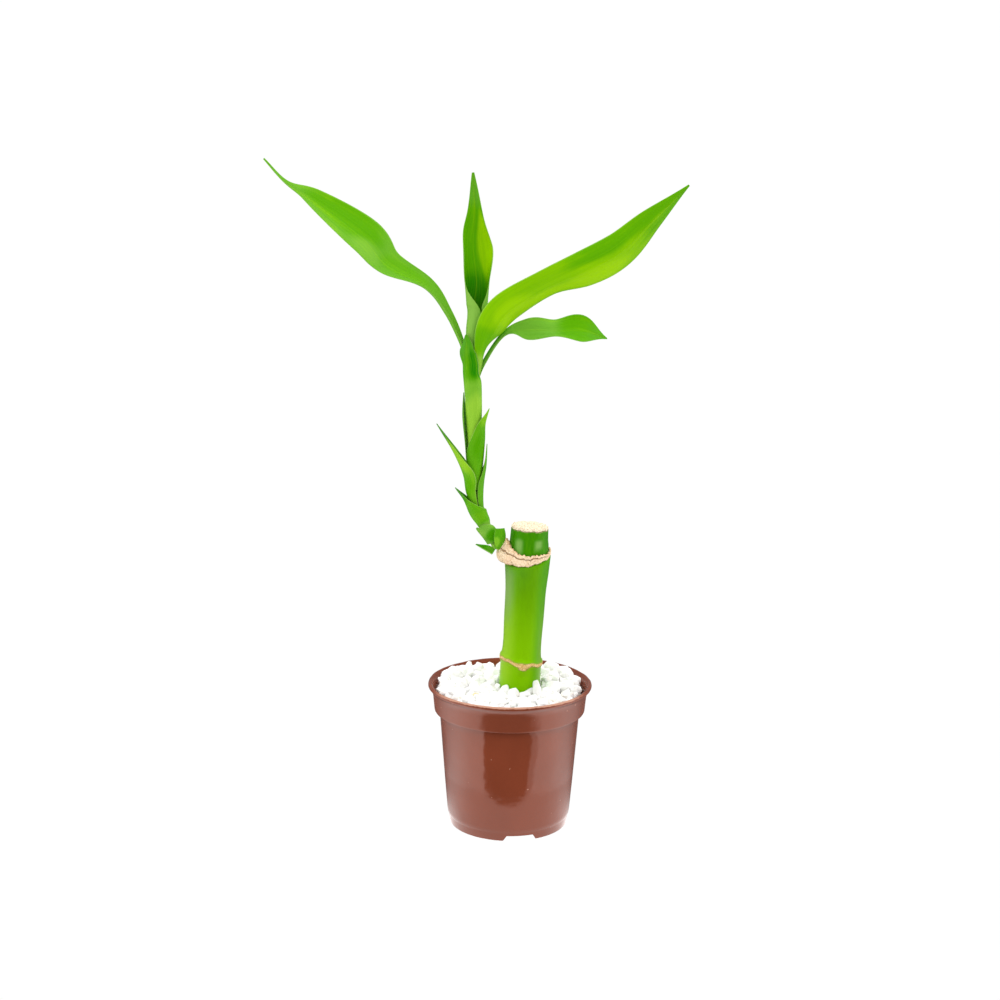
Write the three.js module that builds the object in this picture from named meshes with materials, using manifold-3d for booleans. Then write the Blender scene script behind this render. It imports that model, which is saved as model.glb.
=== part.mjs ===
// A lucky bamboo in its nursery pot: one cut cane with a leafy side shoot, planted in soil
// under white gravel. Millimetres, +Z up, the pot standing on z = 0. Every piece is laid out
// from the pot's axis, with azimuth 0 towards +X, 180 to the left and 270 to the front; the
// whole is then shifted so that the bottom centre of its box is the origin.
import * as THREE from "three";
import { mergeVertices } from "three/addons/utils/BufferGeometryUtils.js";
import { ConvexGeometry } from "three/addons/geometries/ConvexGeometry.js";
import Module from "manifold-3d";

const wasm = await Module();
wasm.setup();

// ---------------------------------------------------------------- driving dimensions
const GAP = 0.3; // clearance between neighbouring pieces

const POT = {
  height: 53.4,
  rimRadius: 30, // outside of the rolled lip
  bandTopRadius: 28.1, // under the lip
  bandRadius: 27.5, // lower edge of the rim band
  bandBottom: 43.3,
  shoulderRadius: 25.6, // of the body, just under the band's step
  shoulderHeight: 42.9,
  bodyBottomRadius: 22.5,
  footHeight: 3.8,
  footTopRadius: 22,
  footRadius: 21.7,
  footWall: 1.3,
  wall: 1.1,
  floorHeight: 2.2, // the floor is carried clear of the ground
  facets: 48,
};
// Radius of the pot's inside by height, from the floor to the lip.
const POT_INSIDE = [
  [3.5, 21.4],
  [POT.shoulderHeight, POT.shoulderRadius - POT.wall],
  [POT.bandBottom + 1.3, POT.bandRadius - 1.2],
  [49.4, 26.8],
  [51.8, 27.8],
  [POT.height, POT.rimRadius - POT.wall],
];
const FOOT_NOTCHES = { count: 3, azimuth: 281.5, height: 2.2, bottomWidth: 12.4, topWidth: 9.6 };
const DRAIN_HOLES = { count: 4, radius: 2.6, ringRadius: 12 };

const SOIL = { bottom: 3.8, top: 45 };
const GRAVEL = {
  bottom: 45.3,
  bedTop: 50,
  level: 51.6, // middle of the stones in front
  stones: 84,
  seed: 11,
  smallest: 4.8,
  largest: 8.8,
  corners: 11,
};

const CANE = {
  bottom: 12,
  footX: 1.45, // where the axis meets the lower end
  lean: 2.9, // degrees to the right
  radius: 7.45,
  facets: 24,
  scarHeight: 62.3, // leaf scar round the lower joint
  scarTilt: 0.9,
  jointHeight: 101, // joint that the shoot grows from
  top: 112.4,
};
const COLLAR = { inner: 7.5, thickness: 0.7 }; // dried leaf base let into the upper joint

const BLADE = { thickness: 0.62, keel: 0.5 }; // mm, and the depth of the fold along the middle

// ---------------------------------------------------------------- small helpers
const radians = THREE.MathUtils.degToRad;
const point = (x, y, z) => new THREE.Vector3(x, y, z);
const outward = (azimuth) => point(Math.cos(radians(azimuth)), Math.sin(radians(azimuth)), 0);

// The same repeatable draw of numbers between 0 and 1 for one seed.
function randomFrom(seed) {
  let state = seed;
  return () => {
    state = (state * 1664525 + 1013904223) % 4294967296;
    return state / 4294967296;
  };
}

function solidOf(geometry) {
  const bare = geometry.clone();
  bare.deleteAttribute("normal");
  bare.deleteAttribute("uv");
  const merged = mergeVertices(bare, 1e-4);
  return new wasm.Manifold(
    new wasm.Mesh({
      numProp: 3,
      vertProperties: merged.attributes.position.array,
      triVerts: new Uint32Array(merged.index.array),
    }),
  );
}

function geometryOf(solid) {
  const mesh = solid.getMesh();
  return new THREE.BufferGeometry()
    .setAttribute("position", new THREE.BufferAttribute(mesh.vertProperties, 3))
    .setIndex(new THREE.BufferAttribute(mesh.triVerts, 1));
}

// A body of revolution about Z from [radius, height] pairs listed from the bottom up.
function turned(profile, facets) {
  const outline = profile.map(([radius, height]) => new THREE.Vector2(radius, height));
  return new THREE.LatheGeometry(outline, facets).rotateX(Math.PI / 2);
}

function reshape(geometry, move) {
  const place = geometry.attributes.position;
  const at = new THREE.Vector3();
  for (let i = 0; i < place.count; i++) {
    at.fromBufferAttribute(place, i);
    move(at);
    place.setXYZ(i, at.x, at.y, at.z);
  }
  return geometry;
}

// ---------------------------------------------------------------- pot, soil and gravel
function innerRadius(height) {
  const above = POT_INSIDE.findIndex(([top]) => height <= top);
  const upper = Math.max(1, above < 0 ? POT_INSIDE.length - 1 : above);
  const [[z0, r0], [z1, r1]] = POT_INSIDE.slice(upper - 1, upper + 1);
  return r0 + ((r1 - r0) * (height - z0)) / (z1 - z0);
}

// Outline of a filling that keeps clear of the pot between two heights.
function fillingOutline(bottom, top) {
  const between = POT_INSIDE.map(([height]) => height).filter((h) => h > bottom && h < top);
  const wall = [bottom, ...between, top].map((height) => [innerRadius(height) - GAP, height]);
  return [[0, bottom], ...wall, [0, top]];
}

function potGeometry() {
  const { height, rimRadius, floorHeight, facets } = POT;
  const [[floorTop]] = POT_INSIDE;
  const profile = [
    [0, floorHeight],
    [POT.footRadius - POT.footWall, floorHeight],
    [POT.footRadius - POT.footWall, 0],
    [POT.footRadius - 0.5, 0],
    [POT.footRadius, 0.7],
    [POT.footTopRadius, POT.footHeight - 0.5],
    [POT.bodyBottomRadius, POT.footHeight],
    [POT.shoulderRadius, POT.shoulderHeight],
    [POT.bandRadius, POT.bandBottom],
    [POT.bandTopRadius, height - 4.4],
    [rimRadius - 0.9, height - 2.6],
    [rimRadius, height - 1.4],
    [rimRadius, height - 0.5],
    [rimRadius - 0.5, height],
    ...POT_INSIDE.map(([z, radius]) => [radius, z]).reverse(),
    [0, floorTop],
  ];
  let pot = solidOf(turned(profile, facets));
  for (let i = 0; i < FOOT_NOTCHES.count; i++) {
    const azimuth = FOOT_NOTCHES.azimuth + (360 / FOOT_NOTCHES.count) * i;
    pot = pot.subtract(solidOf(footNotch(azimuth)));
  }
  for (let i = 0; i < DRAIN_HOLES.count; i++) {
    const centre = outward((360 / DRAIN_HOLES.count) * i).multiplyScalar(DRAIN_HOLES.ringRadius);
    const hole = new THREE.CylinderGeometry(DRAIN_HOLES.radius, DRAIN_HOLES.radius, 8, 16)
      .rotateX(Math.PI / 2)
      .translate(centre.x, centre.y, floorTop);
    pot = pot.subtract(solidOf(hole));
  }
  return geometryOf(pot);
}

// A trapezoid cut through the foot ring, wide at the ground.
function footNotch(azimuth) {
  const { bottomWidth, topWidth, height } = FOOT_NOTCHES;
  const outline = new THREE.Shape([
    new THREE.Vector2(-bottomWidth / 2, -1),
    new THREE.Vector2(bottomWidth / 2, -1),
    new THREE.Vector2(topWidth / 2, height),
    new THREE.Vector2(-topWidth / 2, height),
  ]);
  const depth = 6;
  return new THREE.ExtrudeGeometry(outline, { depth, bevelEnabled: false })
    .translate(0, 0, POT.footRadius - depth / 2)
    .rotateX(Math.PI / 2)
    .rotateZ(radians(azimuth + 90));
}

function caneHole(bottom, top) {
  const radius = CANE.radius + GAP;
  return new THREE.CylinderGeometry(radius, radius, top - bottom, CANE.facets)
    .rotateX(Math.PI / 2)
    .translate(0, 0, (top + bottom) / 2 - CANE.bottom)
    .rotateY(radians(CANE.lean))
    .translate(CANE.footX, 0, CANE.bottom);
}

function soilGeometry() {
  const filling = turned(fillingOutline(SOIL.bottom, SOIL.top), POT.facets);
  return geometryOf(solidOf(filling).subtract(solidOf(caneHole(CANE.bottom - GAP, 54))));
}

// Where the top of the gravel lies: level in front, heaped at the back on both sides.
function gravelHeight(x, y) {
  const heap = (cx, cy, spread) => Math.exp(-((x - cx) ** 2 + (y - cy) ** 2) / spread ** 2);
  return GRAVEL.level + 2.3 * heap(-16, 12, 13) + 2.5 * heap(16, 12, 9);
}

// Angular chips on a sunflower spiral, each the hull of a few corners on an ellipsoid.
function gravelGeometry() {
  const random = randomFrom(GRAVEL.seed);
  const spread = (low, high) => low + (high - low) * random();
  let gravel = solidOf(turned(fillingOutline(GRAVEL.bottom, GRAVEL.bedTop), POT.facets));
  const goldenAngle = 180 * (3 - Math.sqrt(5));
  const reach = innerRadius(GRAVEL.level) - 1.6;
  for (let i = 0; i < GRAVEL.stones; i++) {
    const place = outward(goldenAngle * i).multiplyScalar(
      reach * Math.sqrt((i + 0.5) / GRAVEL.stones),
    );
    const size = spread(GRAVEL.smallest, GRAVEL.largest) / 2;
    const corners = [];
    for (let k = 0; k < GRAVEL.corners; k++) {
      const height = 1 - (2 * (k + 0.5)) / GRAVEL.corners;
      const ring = Math.sqrt(1 - height * height);
      const turn = radians(goldenAngle * k + spread(-25, 25));
      const bulge = spread(0.9, 1.08);
      corners.push(
        point(ring * Math.cos(turn), 0.8 * ring * Math.sin(turn), 0.72 * height).multiplyScalar(
          size * bulge,
        ),
      );
    }
    const chip = new ConvexGeometry(corners)
      .rotateX(radians(spread(-40, 40)))
      .rotateZ(radians(spread(0, 360)))
      .translate(place.x, place.y, gravelHeight(place.x, place.y));
    gravel = gravel.add(solidOf(chip));
  }
  const insideLip = fillingOutline(GRAVEL.bottom, POT.height).slice(0, -1);
  const room = turned([...insideLip, [24, 60], [0, 60]], POT.facets);
  const clear = gravel.intersect(solidOf(room)).subtract(solidOf(caneHole(SOIL.top - 1, 70)));
  const bodies = clear.decompose().sort((a, b) => b.volume() - a.volume());
  return geometryOf(bodies[0]);
}

// ---------------------------------------------------------------- cane
// How far the upper joint lies above its middle height: higher on the right and behind.
const jointTilt = (azimuth) => 1.45 * Math.cos(azimuth) + 2.05 * Math.sin(azimuth);

// Stands a piece that was turned about Z on the cane's leaning axis.
function onCaneAxis(geometry) {
  return geometry
    .translate(0, 0, -CANE.bottom)
    .rotateY(radians(CANE.lean))
    .translate(CANE.footX, 0, CANE.bottom);
}

function caneGeometry() {
  const { bottom, radius, scarHeight, jointHeight, top } = CANE;
  const seat = COLLAR.inner - GAP;
  const profile = [
    [0, bottom],
    [radius - 0.5, bottom],
    [radius, bottom + 1.5],
    [radius, scarHeight - 1.2],
    [radius + 0.45, scarHeight - 0.5],
    [radius + 0.45, scarHeight + 0.5],
    [radius - 0.25, scarHeight + 2],
    [radius - 0.5, scarHeight + 6],
    [radius - 0.25, scarHeight + 16],
    [radius - 0.1, 88],
    [radius + 0.4, 95],
    [radius + 0.7, jointHeight - 0.8],
    [seat, jointHeight - 0.3],
    [seat, jointHeight + 3],
    [6.9, jointHeight + 6],
    [6.7, top - 0.5],
    [6.2, top],
    [0, top - 0.3],
  ];
  const cane = reshape(turned(profile, CANE.facets), (at) => {
    const azimuth = Math.atan2(at.y, at.x);
    const nearScar = Math.exp(-(((at.z - scarHeight) / 8) ** 2));
    const nearJoint = Math.exp(-(((at.z - jointHeight) / 5) ** 4));
    at.z += nearJoint * jointTilt(azimuth) - nearScar * CANE.scarTilt * Math.cos(azimuth);
  });
  const bud = new THREE.SphereGeometry(1, 12, 8).scale(3.1, 1.5, 1.3).translate(0.6, -7.1, 60.6);
  return onCaneAxis(geometryOf(solidOf(cane).add(solidOf(bud))));
}

// The dried leaf base round the upper joint: a torn band, widest in front and on the left,
// where it swells to the foot of the shoot.
function collarGeometry() {
  const { inner, thickness } = COLLAR;
  const steps = [0, 0.25, 0.5, 0.75, 1];
  const outside = steps.map((share) => [inner + thickness, share]);
  const ring = [[inner, 0], ...outside, [inner, 1], [inner, 0]];
  const band = reshape(turned(ring, 36), (at) => {
    const azimuth = Math.atan2(at.y, at.x);
    const share = at.z;
    const radius = Math.hypot(at.x, at.y);
    const toShoot = Math.max(0, Math.cos(azimuth - radians(190))) ** 6;
    const ragged = 0.25 * Math.sin(azimuth * 9) * Math.sin(azimuth * 4 + 1);
    const width = 2.7 - 1.6 * Math.cos(azimuth) - 1.25 * Math.sin(azimuth) + 3.2 * toShoot;
    at.z = CANE.jointHeight + jointTilt(azimuth) + share * width + ragged;
    const swell = radius > inner + 0.1 ? 3.4 * toShoot * Math.sin(Math.PI * (0.25 + 0.7 * share)) : 0;
    at.multiply(point(1 + swell / radius, 1 + swell / radius, 1));
  });
  return geometryOf(solidOf(onCaneAxis(band)).subtract(solidOf(shootStemGeometry(GAP))));
}

// ---------------------------------------------------------------- shoot
// Centre line of the shoot above the pot's axis, from the joint to the youngest leaf.
const SHOOT_LINE = new THREE.CatmullRomCurve3(
  [
    point(-4.9, -1, 104),
    point(-9.3, -0.8, 111.5),
    point(-12.7, -0.5, 119.5),
    point(-13.7, 0, 127.5),
    point(-13.5, 0, 135.5),
    point(-13.5, 0, 143.5),
    point(-13.8, 0, 151.5),
    point(-14.1, 0, 159.5),
    point(-14.6, 0, 167.5),
    point(-14.9, 0, 175.5),
    point(-15, 0, 183.5),
  ],
  false,
  "catmullrom",
  0.5,
);

function shootCentre(height) {
  let low = 0;
  let high = 1;
  for (let i = 0; i < 24; i++) {
    const middle = (low + high) / 2;
    if (SHOOT_LINE.getPoint(middle).z < height) low = middle;
    else high = middle;
  }
  return SHOOT_LINE.getPoint((low + high) / 2);
}

// The shoot's core, or with clearance the socket that it stands in.
function shootStemGeometry(clearance = 0) {
  const foot = 103.8 - clearance;
  const profile = [
    [0, foot],
    [2 + clearance, foot],
    [1.6 + clearance, 106.5],
  ];
  for (let height = 109; height <= 150; height += 3) profile.push([0.85, height]);
  profile.push([0, 151]);
  return reshape(turned(profile, 12), (at) => {
    const centre = shootCentre(at.z);
    at.x += centre.x;
    at.y += centre.y;
  });
}

// A station of a blade: where its middle line passes, which way its upper side looks, the
// flat width there and how many degrees its section is rolled up.
const station = (at, faces, width, rolled) => ({ at, faces, width, rolled });

// A station that clasps the shoot at a height, with the middle line at an azimuth.
function clasp(height, azimuth, radius, rolled) {
  const side = outward(azimuth);
  const at = shootCentre(height).addScaledVector(side, radius);
  return station(at, side.negate(), radius * radians(rolled), rolled);
}

// A leaf or bract through its stations: a closed sheet of even thickness, its section a
// circular arc with a slight fold along the middle, its margins waved.
function bladeGeometry(stations, { along, across, wave = 0, waves = 3, phase = 0 }) {
  const curve = (values) => new THREE.CatmullRomCurve3(values, false, "catmullrom", 0.5);
  const line = curve(stations.map((s) => s.at));
  const facing = curve(stations.map((s) => s.faces.clone().normalize()));
  const section = curve(stations.map((s) => point(s.width, s.rolled, 0)));

  function surface(t, s, lift) {
    const at = line.getPoint(t);
    const ahead = line.getTangent(t);
    const normal = facing.getPoint(t);
    normal.addScaledVector(ahead, -normal.dot(ahead)).normalize();
    const side = new THREE.Vector3().crossVectors(ahead, normal);
    const { x: width, y: rolled } = section.getPoint(t);
    const halfArc = Math.max(radians(rolled), 0.02) / 2;
    const radius = width / 2 / halfArc;
    const turn = s * halfArc;
    const leaf = normal.clone().multiplyScalar(Math.cos(turn)).addScaledVector(side, -Math.sin(turn));
    const flatness = Math.max(0, 1 - rolled / 180) * Math.min(1, width / 8);
    const swing = Math.sin(2 * Math.PI * (waves * t + phase) + 1.3 * s);
    const ripple = wave * flatness * s * s * swing;
    const fold = BLADE.keel * flatness * (1 - Math.min(1, Math.abs(s) * 2.5));
    return at
      .addScaledVector(side, radius * Math.sin(turn))
      .addScaledVector(normal, radius * (1 - Math.cos(turn)))
      .addScaledVector(leaf, lift + ripple - fold);
  }

  const sheet = new THREE.PlaneGeometry(2, 1, across, along);
  const grid = sheet.attributes.position;
  const count = grid.count;
  const places = new Float32Array(count * 6);
  for (let i = 0; i < count; i++) {
    const t = 0.5 - grid.getY(i);
    for (const [offset, lift] of [[0, BLADE.thickness / 2], [count, -BLADE.thickness / 2]]) {
      surface(t, grid.getX(i), lift).toArray(places, (i + offset) * 3);
    }
  }
  const upper = Array.from(sheet.index.array);
  const faces = [];
  for (let i = 0; i < upper.length; i += 3) {
    const [a, b, c] = upper.slice(i, i + 3);
    faces.push(a, c, b, a + count, b + count, c + count);
  }
  const row = across + 1;
  const rim = [];
  for (let i = 0; i < across; i++) rim.push(i);
  for (let i = 0; i < along; i++) rim.push(i * row + across);
  for (let i = across; i > 0; i--) rim.push(along * row + i);
  for (let i = along; i > 0; i--) rim.push(i * row);
  rim.forEach((a, i) => {
    const b = rim[(i + 1) % rim.length];
    faces.push(a, b + count, b, a, a + count, b + count);
  });
  return new THREE.BufferGeometry()
    .setAttribute("position", new THREE.BufferAttribute(places, 3))
    .setIndex(faces);
}

// ---------------------------------------------------------------- bracts, from the foot up
const bractShape = { along: 8, across: 9 };
const BRACTS = {
  bract_basal: [
    station(point(-6.6, -4.9, 103), point(0.4, -0.5, 0.8), 3.8, 100),
    station(point(-9.3, -4.3, 104.4), point(0.3, -0.5, 0.85), 3.4, 100),
    station(point(-12.8, -1.8, 105.3), point(0.3, -0.3, 0.9), 0.9, 50),
  ],
  bract_torn: [
    station(point(-4.9, -5.4, 104.8), point(-0.4, 0.9, 0), 2, 60),
    station(point(-3.95, -5.2, 108.4), point(-0.4, 0.9, 0), 4.9, 80),
    station(point(-4, -4.8, 112), point(-0.4, 0.9, 0), 3.6, 60),
  ],
  bract_lower: [
    clasp(105.6, 210, 2.7, 240),
    clasp(108.6, 212, 2.9, 254),
    clasp(111.2, 205, 3.6, 110),
  ],
  bract_left_short: [
    clasp(109, 190, 1.5, 300),
    clasp(111, 190, 2.2, 310),
    clasp(112.8, 190, 2.6, 310),
    clasp(115.2, 190, 3.3, 275),
    clasp(117.6, 190, 3.55, 200),
    station(point(-17.2, -0.8, 121.6), point(0.7, 0, 0.6), 5.6, 110),
    station(point(-20.4, -1, 125.8), point(0.7, 0, 0.6), 0.9, 60),
  ],
  bract_right_thin: [
    clasp(117, 5, 1.6, 145),
    clasp(122, 5, 2.6, 145),
    clasp(128, 5, 3.3, 125),
    station(point(-9.6, -0.4, 134.5), point(-1, 0, 0), 3.4, 60),
    station(point(-9.2, -0.6, 141.8), point(-1, 0, 0.1), 0.9, 40),
  ],
  bract_left_long: [
    clasp(117, 192, 1.75, 170),
    clasp(124, 194, 2.8, 175),
    clasp(130.5, 190, 3.75, 170),
    station(point(-20.8, -0.8, 138.6), point(0.9, 0, 0.5), 5.4, 120),
    station(point(-27.1, -1, 148.9), point(0.8, 0, 0.6), 0.9, 60),
  ],
  bract_right: [
    clasp(125.5, 315, 1.95, 200),
    clasp(131, 314, 2.6, 222),
    clasp(137, 318, 2.95, 246),
    clasp(143.5, 330, 3.4, 170),
    clasp(149, 338, 3.75, 100),
    station(point(-8.5, -1.6, 154.7), point(-1, 0.2, 0.1), 0.9, 40),
  ],
  bract_left: [
    clasp(133, 140, 2.65, 96),
    clasp(142, 148, 3.45, 86),
    clasp(151, 165, 4, 70),
    station(point(-17.65, 1.6, 159.8), point(1, -0.2, 0), 0.9, 20),
  ],
};

// ---------------------------------------------------------------- leaves
// The sheath wraps the feet of the four leaves and ends in a point in front of them.
const LEAVES = {
  leaf_sheath: {
    stations: [
      clasp(129, 195, 1.6, 280),
      clasp(139, 195, 2, 290),
      clasp(151, 204, 2.66, 290),
      clasp(157, 210, 2.85, 284),
      clasp(163, 215, 3.05, 262),
      clasp(167, 224, 3.2, 190),
      clasp(170.5, 240, 3.4, 142),
      station(point(-17, -3.45, 174.5), point(0.45, 0.9, 0), 7.4, 112),
      station(point(-16.7, -3.3, 177.8), point(0.45, 0.9, 0), 4.2, 90),
      station(point(-16.8, -2.7, 180.9), point(0.4, 0.9, 0), 0.9, 40),
    ],
    shape: { along: 18, across: 10 },
  },
  leaf_left: {
    stations: [
      clasp(157, 178, 1.95, 108),
      clasp(165, 178, 2, 112),
      clasp(168.5, 178, 2.1, 100),
      station(point(-17.3, 0.9, 172), point(0.97, 0, 0.2), 3.7, 92),
      station(point(-19.5, 1.8, 178.6), point(0.9, -0.2, 0.4), 5.1, 104),
      station(point(-24.4, 3, 188.1), point(0.8, -0.3, 0.5), 6.4, 105),
      station(point(-31.4, 6, 196.9), point(0.4, -0.5, 0.8), 7.8, 90),
      station(point(-45.3, 9, 203.6), point(0.4, -0.6, 0.7), 14, 60),
      station(point(-53.8, 9, 212.9), point(0.5, -0.6, 0.6), 19, 50),
      station(point(-70.8, 8.5, 225.7), point(0.5, -0.5, 0.7), 11.6, 60),
      station(point(-80.3, 7, 232), point(0.7, -0.3, 0.6), 3.4, 60),
      station(point(-87.6, 4, 240.4), point(0.5, -0.5, 0.7), 0.9, 40),
    ],
    shape: { along: 30, across: 9, wave: 0.4, waves: 5 },
  },
  leaf_right: {
    stations: [
      clasp(155, 316, 1.6, 100),
      clasp(163, 316, 1.85, 96),
      station(point(-11.7, -0.8, 169), point(-0.87, 0.5, 0.1), 3.6, 115),
      station(point(-10.4, -1.6, 175.5), point(-0.8, 0.55, 0.15), 6.9, 130),
      station(point(-7.3, -3.4, 181.8), point(-0.5, 0.8, 0.3), 13.8, 115),
      station(point(-2, -5, 189.5), point(-0.3, 0.8, 0.5), 15.2, 90),
      station(point(11, -7, 198.1), point(-0.2, 0.8, 0.6), 14, 70),
      station(point(24, -9, 204.1), point(-0.1, 0.9, 0.4), 14.8, 60),
      station(point(36, -10.5, 211), point(-0.2, 0.9, 0.4), 14.6, 55),
      station(point(46.2, -11.5, 221.6), point(-0.2, 0.9, 0.3), 9.2, 55),
      station(point(58.5, -12, 233.7), point(-0.5, 0.7, 0.5), 0.9, 40),
    ],
    shape: { along: 24, across: 7, wave: 0.4, waves: 4 },
  },
  leaf_rolled: {
    stations: [
      clasp(154, 110, 0.75, 270),
      clasp(163, 110, 0.9, 300),
      station(point(-15.35, 1.5, 172), point(0.5, -0.9, 0), 7.2, 312),
      station(point(-16.5, 1.1, 182), point(0.9, -0.45, 0), 12.9, 335),
      station(point(-14.5, 3.2, 190), point(0.35, -0.94, 0), 20.8, 340),
      station(point(-13.4, 3.6, 198.5), point(0.05, -1, 0), 15, 205),
      station(point(-14.8, 3.4, 210.8), point(0.45, -0.9, 0), 15.2, 150),
      station(point(-14.2, 2.6, 222.9), point(0, -1, 0), 6.4, 110),
      station(point(-14.95, 1.6, 236.6), point(0.1, -1, 0), 0.9, 60),
    ],
    shape: { along: 22, across: 9 },
  },
  leaf_short: {
    stations: [
      clasp(155, 60, 1.65, 52),
      clasp(163, 62, 2, 52),
      station(point(-10.35, 2.25, 170.5), point(-0.7, -0.6, 0.3), 2.4, 75),
      station(point(-3.4, 2.5, 180.3), point(-0.4, -0.4, 0.8), 3.4, 100),
      station(point(4.9, 4, 182), point(0.1, -0.9, 0.4), 8.3, 70),
      station(point(14.6, 5.5, 181.7), point(0.1, -0.6, 0.8), 9.5, 55),
      station(point(24.3, 7, 181.7), point(0.2, -0.7, 0.7), 11.8, 55),
      station(point(33, 9, 178.6), point(0.3, -0.5, 0.8), 0.9, 40),
    ],
    shape: { along: 20, across: 6, wave: 0.6, waves: 3 },
  },
};

// ---------------------------------------------------------------- assembly
const finish = {
  pot: { color: 0xa3604f, roughness: 0.32, metalness: 0 },
  soil: { color: 0x2e211a, roughness: 0.95, metalness: 0 },
  gravel: { color: 0xe4e2dc, roughness: 0.8, metalness: 0 },
  cane: { color: 0x6fb000, roughness: 0.35, metalness: 0 },
  collar: { color: 0xe0a878, roughness: 0.85, metalness: 0 },
  stem: { color: 0x86b84a, roughness: 0.4, metalness: 0 },
  bract: { color: 0x68ad14, roughness: 0.4, metalness: 0 },
  leaf: { color: 0x55a80c, roughness: 0.35, metalness: 0 },
};

function piece(name, geometry, look) {
  const mesh = new THREE.Mesh(geometry, new THREE.MeshStandardMaterial(look));
  mesh.name = name;
  return mesh;
}

const holder = new THREE.Group();
holder.add(
  piece("pot", potGeometry(), finish.pot),
  piece("soil", soilGeometry(), finish.soil),
  piece("gravel", gravelGeometry(), finish.gravel),
);

const plant = new THREE.Group();
plant.add(
  piece("cane", caneGeometry(), finish.cane),
  piece("dried_collar", collarGeometry(), finish.collar),
  piece("shoot_stem", shootStemGeometry(), finish.stem),
);
for (const [name, stations] of Object.entries(BRACTS)) {
  plant.add(piece(name, bladeGeometry(stations, bractShape), finish.bract));
}
for (const [name, { stations, shape }] of Object.entries(LEAVES)) {
  plant.add(piece(name, bladeGeometry(stations, shape), finish.leaf));
}

const luckyBamboo = new THREE.Group();
luckyBamboo.add(holder, plant);
const box = new THREE.Box3().setFromObject(luckyBamboo);
luckyBamboo.position.set(-(box.min.x + box.max.x) / 2, -(box.min.y + box.max.y) / 2, 0);

export default luckyBamboo;
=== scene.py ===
"""Lucky bamboo in its plastic pot: finished pieces, materials and studio round the CAD frame.

Lengths inside the modelling functions are millimetres, measured from the pot's axis at floor level;
seat() turns them into metres in the frame.
"""

import math
import random

import bmesh
import bpy
from mathutils import Matrix, Vector


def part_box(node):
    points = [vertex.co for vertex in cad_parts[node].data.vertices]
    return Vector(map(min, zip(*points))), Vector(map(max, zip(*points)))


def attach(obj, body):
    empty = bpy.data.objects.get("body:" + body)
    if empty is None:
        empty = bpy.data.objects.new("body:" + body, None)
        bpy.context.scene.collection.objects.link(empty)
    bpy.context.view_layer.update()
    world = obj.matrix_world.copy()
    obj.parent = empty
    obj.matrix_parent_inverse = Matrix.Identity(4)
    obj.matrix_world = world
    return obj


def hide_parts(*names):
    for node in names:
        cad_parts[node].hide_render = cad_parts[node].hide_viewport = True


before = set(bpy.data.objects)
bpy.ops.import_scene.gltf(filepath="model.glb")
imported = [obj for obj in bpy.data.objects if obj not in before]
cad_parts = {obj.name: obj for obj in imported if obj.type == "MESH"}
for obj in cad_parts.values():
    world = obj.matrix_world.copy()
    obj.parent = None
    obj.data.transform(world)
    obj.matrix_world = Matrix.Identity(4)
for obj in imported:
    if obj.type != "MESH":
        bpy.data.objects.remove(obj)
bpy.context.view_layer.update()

bl_info = {
    "name": "Lucky Bamboo in a Pot",
    "version": (1, 0, 0),
    "blender": (4, 5, 0),
    "location": "3D View > Sidebar > Bamboo",
    "description": "Builds a potted lucky bamboo plant with its gravel, cane, shoot and leaves",
    "category": "Add Mesh",
}

MM = 0.001
POT_LOW, POT_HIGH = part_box("pot")
AXIS = Vector(((POT_LOW.x + POT_HIGH.x) / 2, (POT_LOW.y + POT_HIGH.y) / 2, 0))
POT_HEIGHT = POT_HIGH.z
RIM_RADIUS = (POT_HIGH.x - POT_LOW.x) / 2
GOLDEN_ANGLE = math.pi * (3 - math.sqrt(5))
CANE_RADIUS, CANE_FOOT, CANE_FOOT_X = 7.45, 12.0, 1.45


# ---------------------------------------------------------------- sizes and colours to change
def length_setting(name, description, default):
    return bpy.props.FloatProperty(
        name=name, description=description, default=default, unit="LENGTH")


def colour_setting(name, description, default):
    return bpy.props.FloatVectorProperty(
        name=name, description=description, default=default, size=3, subtype="COLOR")


class PotSizes(bpy.types.PropertyGroup):
    rim_radius: length_setting("Rim radius", "Outer radius of the rolled lip", RIM_RADIUS)
    height: length_setting("Height", "Height of the pot over its lip", POT_HEIGHT)
    steps: bpy.props.IntProperty(
        name="Steps", description="Facets round the pot", default=180, min=24)
    plastic: colour_setting("Plastic", "Colour of the brown plastic", (0.182, 0.039, 0.0165))
    roughness: bpy.props.FloatProperty(
        name="Roughness", description="Roughness of the body's gloss", default=0.13,
        subtype="FACTOR")


class GravelSizes(bpy.types.PropertyGroup):
    smallest: length_setting("Smallest chip", "Size of the smallest filling chip", 4.8 * MM)
    largest: length_setting("Largest chip", "Size of the largest filling chip", 7.6 * MM)
    filling: bpy.props.IntProperty(
        name="Filling chips", description="Chips that fill the bed under the laid ones",
        default=150, min=0)
    seed: bpy.props.IntProperty(name="Seed", description="Seed of the chips' shapes", default=11)
    stone: colour_setting("Stone", "Colour of the white stone", (0.95, 0.94, 0.925))


class CaneSizes(bpy.types.PropertyGroup):
    radius: length_setting("Radius", "Radius of the cane at the gravel", CANE_RADIUS * MM)
    lean: bpy.props.FloatProperty(
        name="Lean", description="Lean of the cane to the right",
        default=math.radians(2.9), unit="ROTATION")
    skin: colour_setting("Skin", "Colour of the green skin", (0.135, 0.385, 0.0))
    tissue: colour_setting(
        "Dried tissue", "Colour of the dried rings and the cut end", (0.88, 0.61, 0.34))


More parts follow.
